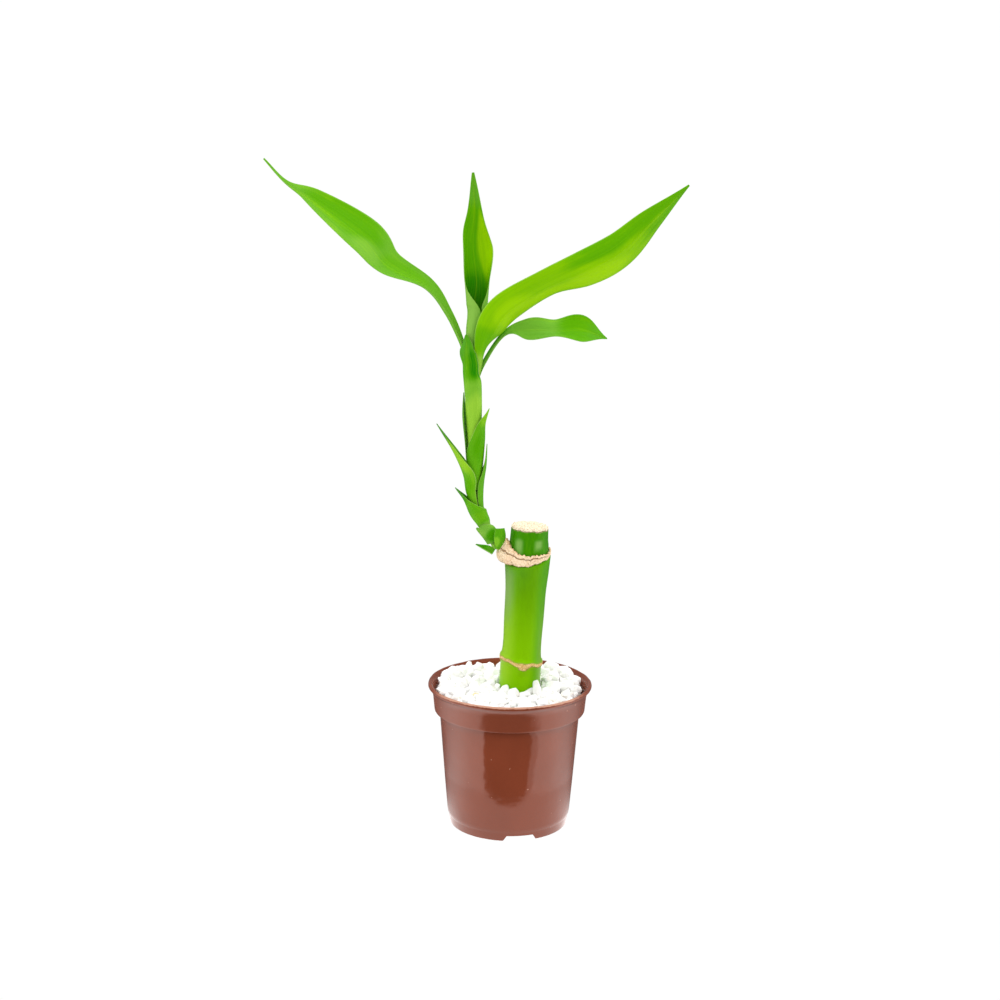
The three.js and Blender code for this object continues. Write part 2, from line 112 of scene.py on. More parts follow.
class FoliageSizes(bpy.types.PropertyGroup):
    leaf_thickness: length_setting(
        "Leaf thickness", "Thickness of a leaf along its middle", 0.5 * MM)
    fold: length_setting("Fold", "Depth of the fold along a leaf's middle", 0.5 * MM)
    green: colour_setting("Green", "Colour of a grown leaf", (0.11, 0.39, 0.0))
    deep: colour_setting(
        "Deep green", "Colour of the darkest parts of a leaf", (0.012, 0.22, 0.0))
    young: colour_setting(
        "Young green", "Colour of a young or lit-through leaf", (0.31, 0.61, 0.0))


class StageSizes(bpy.types.PropertyGroup):
    floor: length_setting("Floor", "Width of the white floor", 12.0)
    lens: bpy.props.FloatProperty(
        name="Lens", description="Focal length in millimetres", default=65.52)
    tent: bpy.props.FloatProperty(
        name="Tent", description="Brightness of the tent's side walls", default=2.0)


SETTINGS = {"pot": PotSizes, "gravel": GravelSizes, "cane": CaneSizes,
            "foliage": FoliageSizes, "stage": StageSizes}


def settings(group):
    return getattr(bpy.context.scene, "bamboo_" + group)


# ---------------------------------------------------------------- shader maths
def maths(operation):
    """A method of a wire that adds a Math node."""
    def method(self, *others):
        return self.finish.node("ShaderNodeMath", {"operation": operation}, self, *others)
    return method


class Wire:
    """A socket that takes part in Python expressions; each operator adds a Math node."""

    def __init__(self, finish, socket):
        self.finish, self.socket = finish, socket

    __add__ = __radd__ = maths("ADD")
    __sub__ = maths("SUBTRACT")
    __mul__ = __rmul__ = maths("MULTIPLY")
    __truediv__ = maths("DIVIDE")
    __pow__ = maths("POWER")
    __abs__ = maths("ABSOLUTE")
    most = maths("MAXIMUM")

    def __rsub__(self, other):
        return self.finish.node("ShaderNodeMath", {"operation": "SUBTRACT"}, other, self)


class Finish:
    """A procedural material, or the world's shader, built through one node method."""

    def __init__(self, name, owner=None):
        self.owner = owner or bpy.data.materials.new(name)
        self.colour = None
        self.owner.use_nodes = True
        self.tree = self.owner.node_tree
        self.tree.nodes.clear()

    def node(self, kind, choices, *values, out=0, **named):
        """Adds a node: its settings first, then its sockets' values or links, by place or name."""
        node = self.tree.nodes.new(kind)
        for key, choice in choices.items():
            setattr(node, key, choice)
        given = [(node.inputs[i], v) for i, v in enumerate(values) if v is not None]
        given += [(node.inputs[key.replace("_", " ")], v) for key, v in named.items()]
        for socket, value in given:
            if isinstance(value, Wire):
                self.tree.links.new(value.socket, socket)
            else:
                socket.default_value = value
        return Wire(self, node.outputs[out])

    def place(self):
        """Object coordinates in millimetres from the pot's axis."""
        point = self.node("ShaderNodeTexCoord", {}, out=3)
        moved = self.node("ShaderNodeVectorMath", {"operation": "SUBTRACT"}, point, tuple(AXIS))
        return self.node("ShaderNodeVectorMath", {"operation": "SCALE"}, moved, Scale=1 / MM)

    def axis_values(self, vector):
        split = self.node("ShaderNodeSeparateXYZ", {}, vector)
        outputs = split.socket.node.outputs
        return [Wire(self, outputs[i]) for i in range(3)]

    def joined(self, x, y, z):
        return self.node("ShaderNodeCombineXYZ", {}, x, y, z)

    def attribute(self, name):
        return self.node("ShaderNodeAttribute", {"attribute_name": name}, out=2)

    def noise(self, vector, scale, detail=2.0, rough=0.5, twist=0.0):
        return self.node("ShaderNodeTexNoise", {}, vector, Scale=scale, Detail=detail,
                         Roughness=rough, Distortion=twist)

    def step(self, value, low, high, start=0.0, end=1.0):
        """A smooth passage from start to end while value goes from low to high."""
        return self.node("ShaderNodeMapRange", {"interpolation_type": "SMOOTHSTEP"},
                         value, low, high, start, end)

    def mix(self, share, first, second):
        return self.node("ShaderNodeMix", {"data_type": "RGBA"}, share,
                         None, None, None, None, None, rgb(first), rgb(second), out=2)

    def tint(self, share, tone):
        """Lays a tone over the finish's colour so far."""
        self.colour = self.mix(share, self.colour, tone)

    def bump(self, height, depth):
        return self.node("ShaderNodeBump", {}, Strength=1.0, Distance=depth * MM, Height=height)

    def surface(self, colour, roughness, normal=None, **constants):
        """Closes the material with a Principled surface; constants go on its own sockets."""
        named = {"Base_Color": rgb(colour), "Roughness": roughness, **constants}
        if normal:
            named["Normal"] = normal
        shader = self.node("ShaderNodeBsdfPrincipled", {}, **named)
        self.node_output(shader)
        return self.owner

    def node_output(self, shader, kind="ShaderNodeOutputMaterial"):
        target = self.tree.nodes.new(kind)
        self.tree.links.new(shader.socket, target.inputs["Surface"])


def rgb(colour):
    return colour if isinstance(colour, Wire) else (*colour[:3], 1.0)


def shade(colour, factor):
    return tuple(c * factor for c in colour[:3])


# ---------------------------------------------------------------- finishes
def plastic_finish(sizes):
    f = Finish("brown_pot_plastic")
    point = f.place()
    x, y, z = f.axis_values(point)
    radius = (x * x + y * y) ** 0.5
    cloud = f.noise(point, 0.06, 3)
    around = f.joined(x * 0.9, y * 0.9, z * 0.12)
    streaks = f.noise(around, 0.5, 4, 0.6)
    f.colour = shade(sizes.plastic, 0.94)
    f.tint(f.step(cloud, 0.3, 0.7), shade(sizes.plastic, 1.08))
    ragged = (f.noise(point, 0.8, 4, 0.65) - 0.5) * 1.6
    # painted highlight: a thin light line along the top of the lip, on the pot's front only
    lip = f.step(z + ragged * 0.5, 52.75, 53.0) * f.step(radius, 28.9, 29.2)
    lip = lip * f.step(y, -10.0, -22.0)
    f.tint(lip * 0.7, (0.66, 0.36, 0.25))
    # painted shade: the plastic darker in a ring just under the lip
    painted_shade_under_lip = f.step(abs(z + ragged * 0.4 - 51.6), 0.9, 0.2) * f.step(radius, 28.5, 29.0)
    f.tint(painted_shade_under_lip * 0.5, shade(sizes.plastic, 0.6))
    # painted shade: the inner wall of the rim darker
    painted_shade_inside = f.step(radius - z * 0.115, 21.6, 21.2) * f.step(z, 40, 44)
    f.tint(painted_shade_inside * 0.5, shade(sizes.plastic, 0.5))
    specks = f.step(f.noise(point, 0.55, 1), 0.79, 0.8)
    f.tint(specks * 0.4, (0.62, 0.34, 0.24))
    # painted shade: a thin dark line in the step between the band and the body
    painted_step_shade = f.step(abs(z - 43.0), 0.45, 0.1)
    f.tint(painted_step_shade * 0.22, shade(sizes.plastic, 0.45))
    band = f.step(z, 42.9, 43.6)
    roughness = sizes.roughness + band * 0.1 + (streaks - 0.5) * 0.03 + lip * 0.2
    scratches = f.step(f.noise(f.joined(x * 2.2, y * 2.2, z * 0.2), 1.0, 2), 0.68, 0.72)
    height = streaks * 0.05 + f.noise(point, 0.16, 2) * 1.0 - scratches * 0.04
    return f.surface(f.colour, roughness, f.bump(height, 0.15), IOR=1.5,
                     Specular_Tint=(1.0, 0.70, 0.64, 1.0))


def soil_finish():
    f = Finish("potting_soil")
    point = f.place()
    crumbs = f.noise(point, 0.5, 6, 0.65)
    drawn_out = f.node("ShaderNodeMapping", {}, point, Scale=(0.2, 1.2, 1.0))
    fibres = f.noise(drawn_out, 1.1, 3, 0.6, 1.5)
    f.colour = f.mix(f.step(crumbs, 0.35, 0.7), (0.012, 0.007, 0.004), (0.055, 0.032, 0.018))
    f.tint(f.step(fibres, 0.62, 0.7), (0.16, 0.10, 0.055))
    return f.surface(f.colour, 0.95, f.bump(crumbs + fibres * 0.4, 0.9))


def stone_finish(sizes):
    f = Finish("white_gravel_stone")
    point = f.place()
    tone = f.attribute("tone")
    cloud = f.noise(point, 0.22, 4, 0.6)
    grain = f.noise(point, 1.6, 4, 0.65)
    f.colour = sizes.stone
    f.tint(f.step(cloud + (tone - 0.5) * 0.35, 0.45, 0.8), (0.82, 0.82, 0.81))
    veins = f.step(abs(f.noise(point, 0.33, 3, 0.55, 0.8) - 0.5), 0.004, 0.03, 1.0, 0.0)
    f.tint(veins * 0.2, (0.66, 0.60, 0.52))
    beige = f.step(f.noise(point, 0.15, 2) + (tone - 0.5) * 0.2, 0.63, 0.72)
    f.tint(beige * 0.3, (0.84, 0.72, 0.56))
    stain = f.step(f.attribute("stain") + (f.noise(point, 0.5, 3) - 0.5) * 2.4, 0.95, 1.25)
    f.tint(stain * 0.8, (0.80, 0.47, 0.14))
    return f.surface(f.colour, 0.62, f.bump(grain * 0.5 + cloud, 0.5), Specular_IOR_Level=0.35)


LEAN_SLOPE = 0.0507


def cane_finish(sizes):
    """Green skin with its mottling, painted sheen and highlights at its sides and painted shade on
    its right, two dried rings and the cut end, by level.
    """
    f = Finish("cane_skin")
    point = f.place()
    x, y, z = f.axis_values(point)
    level = f.attribute("level")
    skin = tuple(sizes.skin)
    grain = f.noise(f.joined(x, y, z * 0.16), 1.1, 4, 0.6)
    cloud = f.noise(point, 0.07, 3)
    low = f.step(level + (cloud - 0.5) * 8, 94.0, 66.0)
    f.colour = f.mix(low, shade(skin, 0.78), (0.19, 0.46, 0.0))
    offset = x - (z - CANE_FOOT) * LEAN_SLOPE - CANE_FOOT_X
    # painted shade: the cane's right side darker green
    f.tint(f.step(offset, 2.5, 6.5) * 0.85, (0.055, 0.28, 0.0))
    # painted sheen: the lower cane's left side paler and greyer
    left = f.step(offset, -1.5, -6.0)
    f.tint(left * low * 0.6, (0.29, 0.51, 0.02))
    # painted sheen: a greyish zone down the left side of the cane's middle
    bloom_and_sheen = f.step(level + (cloud - 0.5) * 12, 72, 90) * f.step(level, 101, 98)
    f.tint(bloom_and_sheen * f.step(offset, -3.0, -7.0) * 0.85, (0.21, 0.35, 0.10))
    # painted reflection: the lower cane's right edge paler
    f.tint(f.step(offset, 4.5, 7.0) * low * 0.5, (0.25, 0.44, 0.05))
    shaded = f.step(level + (cloud - 0.5) * 14, 86, 99) * f.step(offset, 5.0, -3.0)
    f.tint(shaded * 0.55, (0.07, 0.26, 0.012))
    stump = f.step(level, 101.5, 103.0)
    f.tint(stump * 0.92, (0.028, 0.205, 0.0))
    shine = f.step(abs(offset + 3.6), 2.0, 0.3) + f.step(abs(offset - 3.4), 2.0, 0.3)
    shine = shine * f.step(abs(level + (cloud - 0.5) * 6 - 106.0), 2.6, 0.6)
    f.tint(shine * stump * 0.7, (0.24, 0.44, 0.11))
    f.tint(f.step(level, 58.5, 53.0) * 0.4, (0.16, 0.44, 0.0))
    f.tint(f.step(grain, 0.3, 0.8) * 0.15, shade(skin, 1.4))
    mottle = f.step(f.noise(point, 1.5, 5, 0.7), 0.45, 0.75)
    f.tint(mottle * 0.12, shade(skin, 0.6))
    ragged = (f.noise(point, 1.3, 3, 0.6) - 0.5) * 1.3
    from_scar = abs(level - SCAR_HEIGHT + ragged * 0.7)
    scar = f.step(from_scar, 0.62, 0.42)
    outline = f.step(from_scar, 1.0, 0.6)
    f.tint(outline * 0.7, (0.33, 0.33, 0.05))
    tan = tuple(sizes.tissue)
    dry = f.mix(f.step(f.noise(point, 2.4, 4), 0.4, 0.65), (0.60, 0.37, 0.10), (0.93, 0.68, 0.34))
    f.tint(scar, dry)
    at_end = level + ragged * 0.9
    cut = f.step(at_end, CUT_LEVEL - 0.1, CUT_LEVEL + 0.2)
    pith = f.noise(point, 2.2, 4, 0.7)
    wood = f.mix(f.step(pith, 0.36, 0.52), (0.68, 0.47, 0.31), (0.96, 0.82, 0.62))
    specks = f.step(f.noise(point, 1.5, 2), 0.6, 0.66)
    wood = f.mix(specks * 0.6, wood, (0.42, 0.21, 0.10))
    rim = f.step(abs(at_end - CUT_LEVEL), 0.35, 0.1)
    f.tint(cut, wood)
    f.tint(rim * 0.5, shade(tan, 0.6))
    dryness = cut.most(scar)
    roughness = 0.3 + dryness * 0.5
    height = grain * (1 - dryness) * 0.25 + dryness * (pith * 1.6 + 0.6)
    return f.surface(f.colour, roughness, f.bump(height, 0.3), Specular_IOR_Level=0.1,
                     Specular_Tint=GREEN_GLOSS)


def tissue_finish(sizes):
    f = Finish("dried_leaf_tissue")
    point = f.place()
    share = f.attribute("share")
    tan = tuple(sizes.tissue)
    fibre = f.noise(point, 1.4, 5, 0.65, 0.6)
    f.colour = f.mix(f.step(fibre, 0.3, 0.6), shade(tan, 0.93), (1.0, 0.79, 0.55))
    blush = f.step(f.noise(point, 0.35, 3), 0.5, 0.66)
    f.tint(blush * 0.3, (0.82, 0.47, 0.28))
    x, _, _ = f.axis_values(point)
    stained = f.step(x, -2.0, -8.0) * f.step(f.noise(point, 0.8, 4), 0.42, 0.6)
    f.tint(stained * 0.4, (0.66, 0.38, 0.12))
    rag = (f.noise(point, 1.1, 4) - 0.5) * 0.16
    groove = f.step(abs(share - 0.66 + rag), 0.06, 0.015)
    f.tint(groove * 0.7, (0.42, 0.19, 0.05))
    lower = f.step(share + rag, 0.10, 0.0)
    f.tint(lower * 0.8, (0.33, 0.17, 0.03))
    upper = f.step(share + rag, 0.93, 1.0)
    f.tint(upper * 0.5, (0.62, 0.30, 0.07))
    pit = f.step(f.noise(point, 2.0, 3), 0.64, 0.72)
    f.tint(pit * 0.35, (0.50, 0.26, 0.09))
    height = fibre * 1.2 - groove * 1.8 - pit * 0.8
    return f.surface(f.colour, 0.85, f.bump(height, 0.5), Specular_IOR_Level=0.2)


GREEN_GLOSS = (0.75, 1.0, 0.25, 1.0)
# the greyish green that a leaf pales to: part waxy coat, part painted sheen
BLOOM_AND_SHEEN = (0.25, 0.46, 0.10)


def leaf_tone(sizes, depth, bloom_and_sheen=0.0):
    """A leaf colour: 0 deep green, 1 green, 2 young green; bloom_and_sheen pales it: waxy coat and
    painted sheen.
    """
    ladder = [Vector(sizes.deep), Vector(sizes.green), Vector(sizes.young)]
    i = 0 if depth < 1 else 1
    plain = ladder[i].lerp(ladder[i + 1], depth - i)
    return tuple(plain.lerp(Vector(BLOOM_AND_SHEEN), bloom_and_sheen))


def leaf_finish(name, sizes, tone, *, patches=(), under=None, margin=0.3, veins=0.2):
    """Leaf skin from the blade's own UV: u along it, v across it, 0.5 at the middle.

    Each patch gives its place along and across, its two half lengths, its depth and its
    bloom_and_sheen.
    The patches are lighter and darker zones: partly the leaf's own tone, partly painted light and
    shade.
    """
    f = Finish(name)
    point = f.place()
    u, v, _ = f.axis_values(f.node("ShaderNodeUVMap", {"uv_map": "blade"}))
    across = v * 2 - 1
    wide = f.noise(f.joined(u * 1.6, across * 3.2, 0.0), 1.0, 2)
    fine = f.noise(f.joined(u * 2.2, across * 22.0, 0.0), 1.0, 3, 0.65)
    cloud = f.noise(point, 0.09, 3)
    drift = (wide - 0.5) * 0.9 + (cloud - 0.5) * 0.5
    f.colour = rgb(leaf_tone(sizes, *tone))
    # partly painted light and shade: each patch lays a lighter or darker green over a zone of the
    # blade
    for along, over, length, width, *patch in patches:
        far = ((u - along) / length) ** 2 + ((v - over) / width) ** 2
        f.tint(f.step(far + drift * 0.8, 1.25, 0.25), leaf_tone(sizes, *patch))
    f.tint(f.step(drift, 0.0, 0.35) * veins * 1.4, leaf_tone(sizes, 2.0))
    f.tint(f.step(drift, 0.0, -0.35) * veins * 1.3, leaf_tone(sizes, 0.6))
    f.tint(f.step(fine, 0.52, 0.75) * veins, leaf_tone(sizes, 2.0, 0.1))
    f.tint(f.step(fine, 0.48, 0.25) * veins, leaf_tone(sizes, 0.35))
    rib = f.step(abs(across), 0.06, 0.01)
    f.tint(rib * 0.12, leaf_tone(sizes, 1.9))
    edge = f.step(abs(across), 0.94, 0.99)
    f.tint(edge * margin, (0.42, 0.58, 0.16))
    if under:
        f.tint(f.attribute("under"), leaf_tone(sizes, *under))
    return f.surface(f.colour, 0.4, f.bump(fine * 0.8 + wide * 0.6 - rib * 0.6, 0.12),
                     Specular_IOR_Level=0.09, Specular_Tint=GREEN_GLOSS)


# ---------------------------------------------------------------- modelling helpers
def linked(name, bm):
    """Closes a bmesh into a mesh object in the scene."""
    mesh = bpy.data.meshes.new(name)
    bm.to_mesh(mesh)
    bm.free()
    if not mesh.polygons:
        raise RuntimeError(name + " has no faces")
    item = bpy.data.objects.new(name, mesh)
    bpy.context.scene.collection.objects.link(item)
    return item


def seat(bm, name, material, replaces, sharp=None):
    """Turns a bmesh in millimetres into a finished piece standing in the frame."""
    bmesh.ops.scale(bm, vec=(MM, MM, MM), verts=bm.verts)
    move(bm, AXIS)
    piece = linked(name, bm)
    piece.data.shade_smooth()
    if sharp:
        piece.data.set_sharp_from_angle(angle=math.radians(sharp))
    piece.data.materials.append(material)
    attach(piece, "root")
    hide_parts(*replaces)


def move(bm, way, verts=None):
    bmesh.ops.translate(bm, vec=way, verts=verts or bm.verts)


def swing(bm, angle, axis, verts=None):
    """Turns a bmesh, or some of its corners, about the origin."""
    bmesh.ops.rotate(bm, cent=(0, 0, 0), matrix=Matrix.Rotation(angle, 3, axis),
                     verts=verts or bm.verts)


def spun(profile, steps, layer="level", marks=None, ring=False):
    """Turns a profile of (radius, height) once round Z. layer keeps each ring's mark."""
    bm = bmesh.new()
    mark = bm.verts.layers.float.new(layer)
    verts = []
    for i, (radius, height) in enumerate(profile):
        vert = bm.verts.new((radius, 0, height))
        vert[mark] = marks[i] if marks else height
        verts.append(vert)
    pairs = list(zip(verts, verts[1:])) + ([(verts[-1], verts[0])] if ring else [])
    edges = [bm.edges.new(pair) for pair in pairs]
    bmesh.ops.spin(bm, geom=verts + edges, cent=(0, 0, 0), axis=(0, 0, 1),
                   angle=2 * math.pi, steps=steps, use_merge=True)
    bmesh.ops.remove_doubles(bm, verts=bm.verts, dist=1e-4)
    bmesh.ops.recalc_face_normals(bm, faces=bm.faces)
    return bm


def between(a, b, c, d, t):
    """A point between b and c on the smooth curve through four points."""
    return 0.5 * (2 * b + (c - a) * t + (2 * a - 5 * b + 4 * c - d) * t ** 2
                  + (3 * b - a - 3 * c + d) * t ** 3)


def smooth_profile(points, gap):
    """Adds points to a profile on a smooth curve through it, about gap apart."""
    ends = [points[0], *points, points[-1]]
    profile = []
    for i in range(len(points) - 1):
        corners = [Vector(p) for p in ends[i:i + 4]]
        count = max(1, round((corners[2] - corners[1]).length / gap))
        profile += [tuple(between(*corners, k / count)) for k in range(count)]
    return profile + [tuple(points[-1])]


def cut_away(bm, cutters):
    """Takes the cutters' solid out of bm and returns the remaining bmesh."""
    body, tool = linked("cutting", bm), linked("cutting", cutters)
    boolean = body.modifiers.new("cut", "BOOLEAN")
    boolean.operation, boolean.object, boolean.solver = "DIFFERENCE", tool, "EXACT"
    graph = bpy.context.evaluated_depsgraph_get()
    result = bpy.data.meshes.new_from_object(body.evaluated_get(graph))
    left = bmesh.new()
    left.from_mesh(result)
    for item in (body, tool):
        mesh = item.data
        bpy.data.objects.remove(item)
        bpy.data.meshes.remove(mesh)
    bpy.data.meshes.remove(result)
    return left


def outward(azimuth):
    return Vector((math.cos(math.radians(azimuth)), math.sin(math.radians(azimuth)), 0))


# ---------------------------------------------------------------- pot
# The outline is drawn at a rim radius of 30 mm and a height of 53.4 mm: radius and height of
# each point, from the foot up the outside and down the inside.
DRAWN_RIM, DRAWN_HEIGHT = 30.0, 53.4
FOOT_RADIUS, FOOT_WALL, FLOOR_BOTTOM, FLOOR_TOP = 21.7, 1.3, 2.2, 3.5
POT_OUTSIDE = [(21.2, 0.0), (21.6, 0.25), (21.75, 0.8), (22.0, 3.0), (22.15, 3.5), (22.42, 4.1),
               (22.58, 5.2), (23.5, 16.0), (24.45, 28.0), (25.4, 40.2), (25.58, 42.5),
               (25.68, 42.8), (25.9, 42.93), (27.15, 43.12), (27.38, 43.2), (27.5, 43.4),
               (27.56, 43.9), (28.05, 48.8), (28.25, 49.6), (28.52, 50.5), (28.98, 51.35),
               (29.65, 51.95), (29.93, 52.25), (30.0, 52.6), (29.85, 53.05), (29.5, 53.35),
               (29.2, 53.4), (28.95, 53.3)]
POT_INSIDE = [(28.3, 52.4), (27.8, 51.8), (26.8, 49.4), (26.3, 44.6), (24.5, 42.9), (21.4, 3.5)]
NOTCHES = {"count": 3, "azimuth": 281.5, "height": 2.18, "below": 1.1, "bottom": 12.4, "top": 9.6,
           "reach": 6}
DRAINS = {"count": 4, "radius": 2.6, "ring": 12.0, "reach": 6}
# The lip is a little uneven: where that starts, over what height it comes in, and its middle.
LIP_START, LIP_RISE, LIP_DENT = 51.5, 1.2, 0.12


def build_pot(sizes):
    rise, spread = sizes.height / MM / DRAWN_HEIGHT, sizes.rim_radius / MM / DRAWN_RIM
    inner = FOOT_RADIUS - FOOT_WALL
    foot = [(0, FLOOR_BOTTOM), (inner, FLOOR_BOTTOM), (inner, 0)]
    profile = foot + POT_OUTSIDE + POT_INSIDE + [(0, FLOOR_TOP)]
    bm = spun([(r * spread, z * rise) for r, z in profile], sizes.steps)
    for vert in bm.verts:
        lip = max(0.0, min(1.0, (vert.co.z - LIP_START) / LIP_RISE))
        azimuth = math.atan2(vert.co.y, vert.co.x)
        flaw = 0.07 * math.sin(7 * azimuth + 1)
        flaw += 0.05 * math.sin(23 * azimuth) * math.sin(5 * azimuth)
        dent = lip * (flaw - LIP_DENT)
        vert.co.xy *= 1 + dent / DRAWN_RIM
        vert.co.z += dent * 0.5
    cutters = bmesh.new()
    for i in range(DRAINS["count"]):
        made = bmesh.ops.create_cone(cutters, cap_ends=True, segments=32, radius1=DRAINS["radius"],
                                     radius2=DRAINS["radius"], depth=DRAINS["reach"])
        spot = outward(360 / DRAINS["count"] * i) * DRAINS["ring"]
        move(cutters, spot + Vector((0, 0, DRAINS["reach"] / 2)), made["verts"])
    for i in range(NOTCHES["count"]):
        made = bmesh.ops.create_cube(cutters, size=1)
        for vert in made["verts"]:
            above = vert.co.z > 0
            width = NOTCHES["top"] if above else NOTCHES["bottom"]
            slope = (NOTCHES["bottom"] - NOTCHES["top"]) * 0.5
            vert.co = (FOOT_RADIUS + vert.co.x * NOTCHES["reach"],
                       vert.co.y * (width if above else width + slope),
                       NOTCHES["height"] if above else -NOTCHES["below"])
        azimuth = NOTCHES["azimuth"] + 360 / NOTCHES["count"] * i
        swing(cutters, math.radians(azimuth), "Z", made["verts"])
    bmesh.ops.recalc_face_normals(cutters, faces=cutters.faces)
    bm = cut_away(bm, cutters)
    seat(bm, "pot_shell", plastic_finish(sizes), ["pot"], sharp=38)


# ---------------------------------------------------------------- gravel
BED_TOP, GRAVEL_BOTTOM, GRAVEL_LEVEL = 49.0, 45.3, 51.4
BED_PROFILE = [(0, GRAVEL_BOTTOM), (25.8, GRAVEL_BOTTOM), (26.1, BED_TOP - 0.4),
               (25.6, BED_TOP), (12, BED_TOP), (0, BED_TOP)]
# Each heap: its place, how far it spreads and how high it rises over the level.
HEAPS = [(-16, 12, 13, 2.3), (16, 12, 9, 2.5)]
# How far out a laid and a filling chip may lie, and how far chips keep off the wall and the cane.
LAID_RADIUS, FILLING_RADIUS, WALL_GAP, CANE_GAP = 24.0, 25.2, 0.25, 0.3
# A chip's corners are worn away, so it is made larger than it looks: its width and its height.
WORN_WIDTH, WORN_HEIGHT = 1.42, 1.4
# The camera looks down on the gravel at about 19 degrees: the sine and cosine of that.
LOOK_SINE, LOOK_COSINE = 0.33, 0.945
# How far a laid chip sinks, as a share of its height in the picture, and its least half height.
SUNK, THINNEST = 0.22, 1.2
# The chips that show from the front: each one's place, width and height in picture pixels.
LAID_CHIPS = [
    (436, 678, 8, 9), (442, 671, 9, 7), (453, 671, 17, 14), (461, 662, 9, 7), (469, 665, 9, 12),
    (479, 667, 14, 12), (489, 665, 12, 8), (492, 672, 14, 12), (475.5, 679, 12, 13),
    (464, 681, 10, 11), (449, 684, 15, 12), (444, 691, 14, 9), (459.5, 691, 13, 11),
    (469, 698, 13, 7), (474, 694, 13, 8), (482, 688, 19, 9), (492, 682, 9, 9), (498, 686, 9, 8),
    (483, 699, 14, 11), (499, 695, 20, 13), (505, 689, 9, 14), (498, 702, 16, 7),
    (514, 693, 11, 14), (524, 701, 18, 11), (511, 704, 9, 5), (527, 690, 15, 8), (533, 697, 9, 9),
    (538, 689, 9, 24), (544, 694, 6, 15), (543, 702, 12, 6), (554, 697, 16, 12),
    (551, 686, 16, 12), (567, 694, 14, 8), (566, 684, 17, 15), (576, 678, 12, 12),
    (579, 688, 12, 10), (566, 672, 13, 12), (553, 666, 16, 15), (546, 671, 10, 10),
    (547, 678, 10, 8), (556, 677, 11, 10), (498, 678, 9, 9), (456, 680, 10, 8), (437, 686, 9, 9),
    (452, 698, 12, 6), (560, 700, 12, 6), (441, 683, 11, 12), (447, 673, 13, 12),
    (439, 676, 10, 10), (452, 664, 11, 8), (462, 658, 13, 8), (473, 659, 13, 8),
    (484, 661, 10, 7), (552, 660, 12, 8), (561, 663, 12, 9), (571, 669, 12, 10),
    (578, 674, 10, 10), (582, 682, 8, 10), (512, 697, 12, 9), (524, 694, 12, 8), (534, 690, 9, 8),
    (463, 669, 13, 12), (563, 669, 14, 12), (455, 660, 12, 8), (545, 663, 11, 8)]
STAINED_CHIP = 14


def gravel_height(x, y):
    return GRAVEL_LEVEL + sum(rise * math.exp(-((x - cx) ** 2 + (y - cy) ** 2) / spread ** 2)
                              for cx, cy, spread, rise in HEAPS)


def add_chip(bm, rng, at, half, tilt, turn, stain=0.0):
    """One angular chip: the hull of corners on an ellipsoid, its edges worn round."""
    chip = bmesh.new()
    tone, stained = chip.verts.layers.float.new("tone"), chip.verts.layers.float.new("stain")
    corners = rng.choice((8, 9, 11, 13))
    for k in range(corners):
        height = 1 - 2 * (k + 0.5) / corners
        ring = math.sqrt(1 - height * height)
        angle = GOLDEN_ANGLE * k + rng.uniform(-0.6, 0.6)
        bulge = rng.uniform(0.78, 1.12)
        chip.verts.new((half[0] * ring * math.cos(angle) * bulge,
                        half[1] * ring * math.sin(angle) * bulge, half[2] * height * bulge))
    bmesh.ops.convex_hull(chip, input=chip.verts)
    bmesh.ops.dissolve_limit(chip, angle_limit=math.radians(9), verts=chip.verts, edges=chip.edges)
    size = sum(half) / 3
    bmesh.ops.bevel(chip, geom=chip.edges[:] + chip.verts[:], offset=size * 0.12, segments=2,
                    profile=0.5, affect="EDGES", clamp_overlap=True, material=-1)
    swing(chip, tilt, "Y")
    swing(chip, turn, "Z")
    bmesh.ops.recalc_face_normals(chip, faces=chip.faces)
    move(chip, at)
    mark = rng.random()
    for vert in chip.verts:
        vert[tone], vert[stained] = mark, stain
        keep_clear(vert)
    mesh = bpy.data.meshes.new("chip")
    chip.to_mesh(mesh)
    chip.free()
    bm.from_mesh(mesh)
    bpy.data.meshes.remove(mesh)


def keep_clear(vert):
    """Presses a corner of the gravel away from the pot's wall and from the cane."""
    x, y, z = vert.co
    wall = POT_INSIDE[0][0]
    for (r1, z1), (r2, z2) in zip(POT_INSIDE[::-1], POT_INSIDE[-2::-1]):
        if z1 <= z <= z2:
            wall = r1 + (r2 - r1) * (z - z1) / (z2 - z1)
    radius = math.hypot(x, y)
    if radius > wall - WALL_GAP:
        vert.co.xy *= (wall - WALL_GAP) / radius
    centre = Vector((cane_axis(z), 0))
    away = Vector((x, y)) - centre
    near = CANE_RADIUS + CANE_GAP
    if away.length < near:
        vert.co.xy = centre + away.normalized() * near


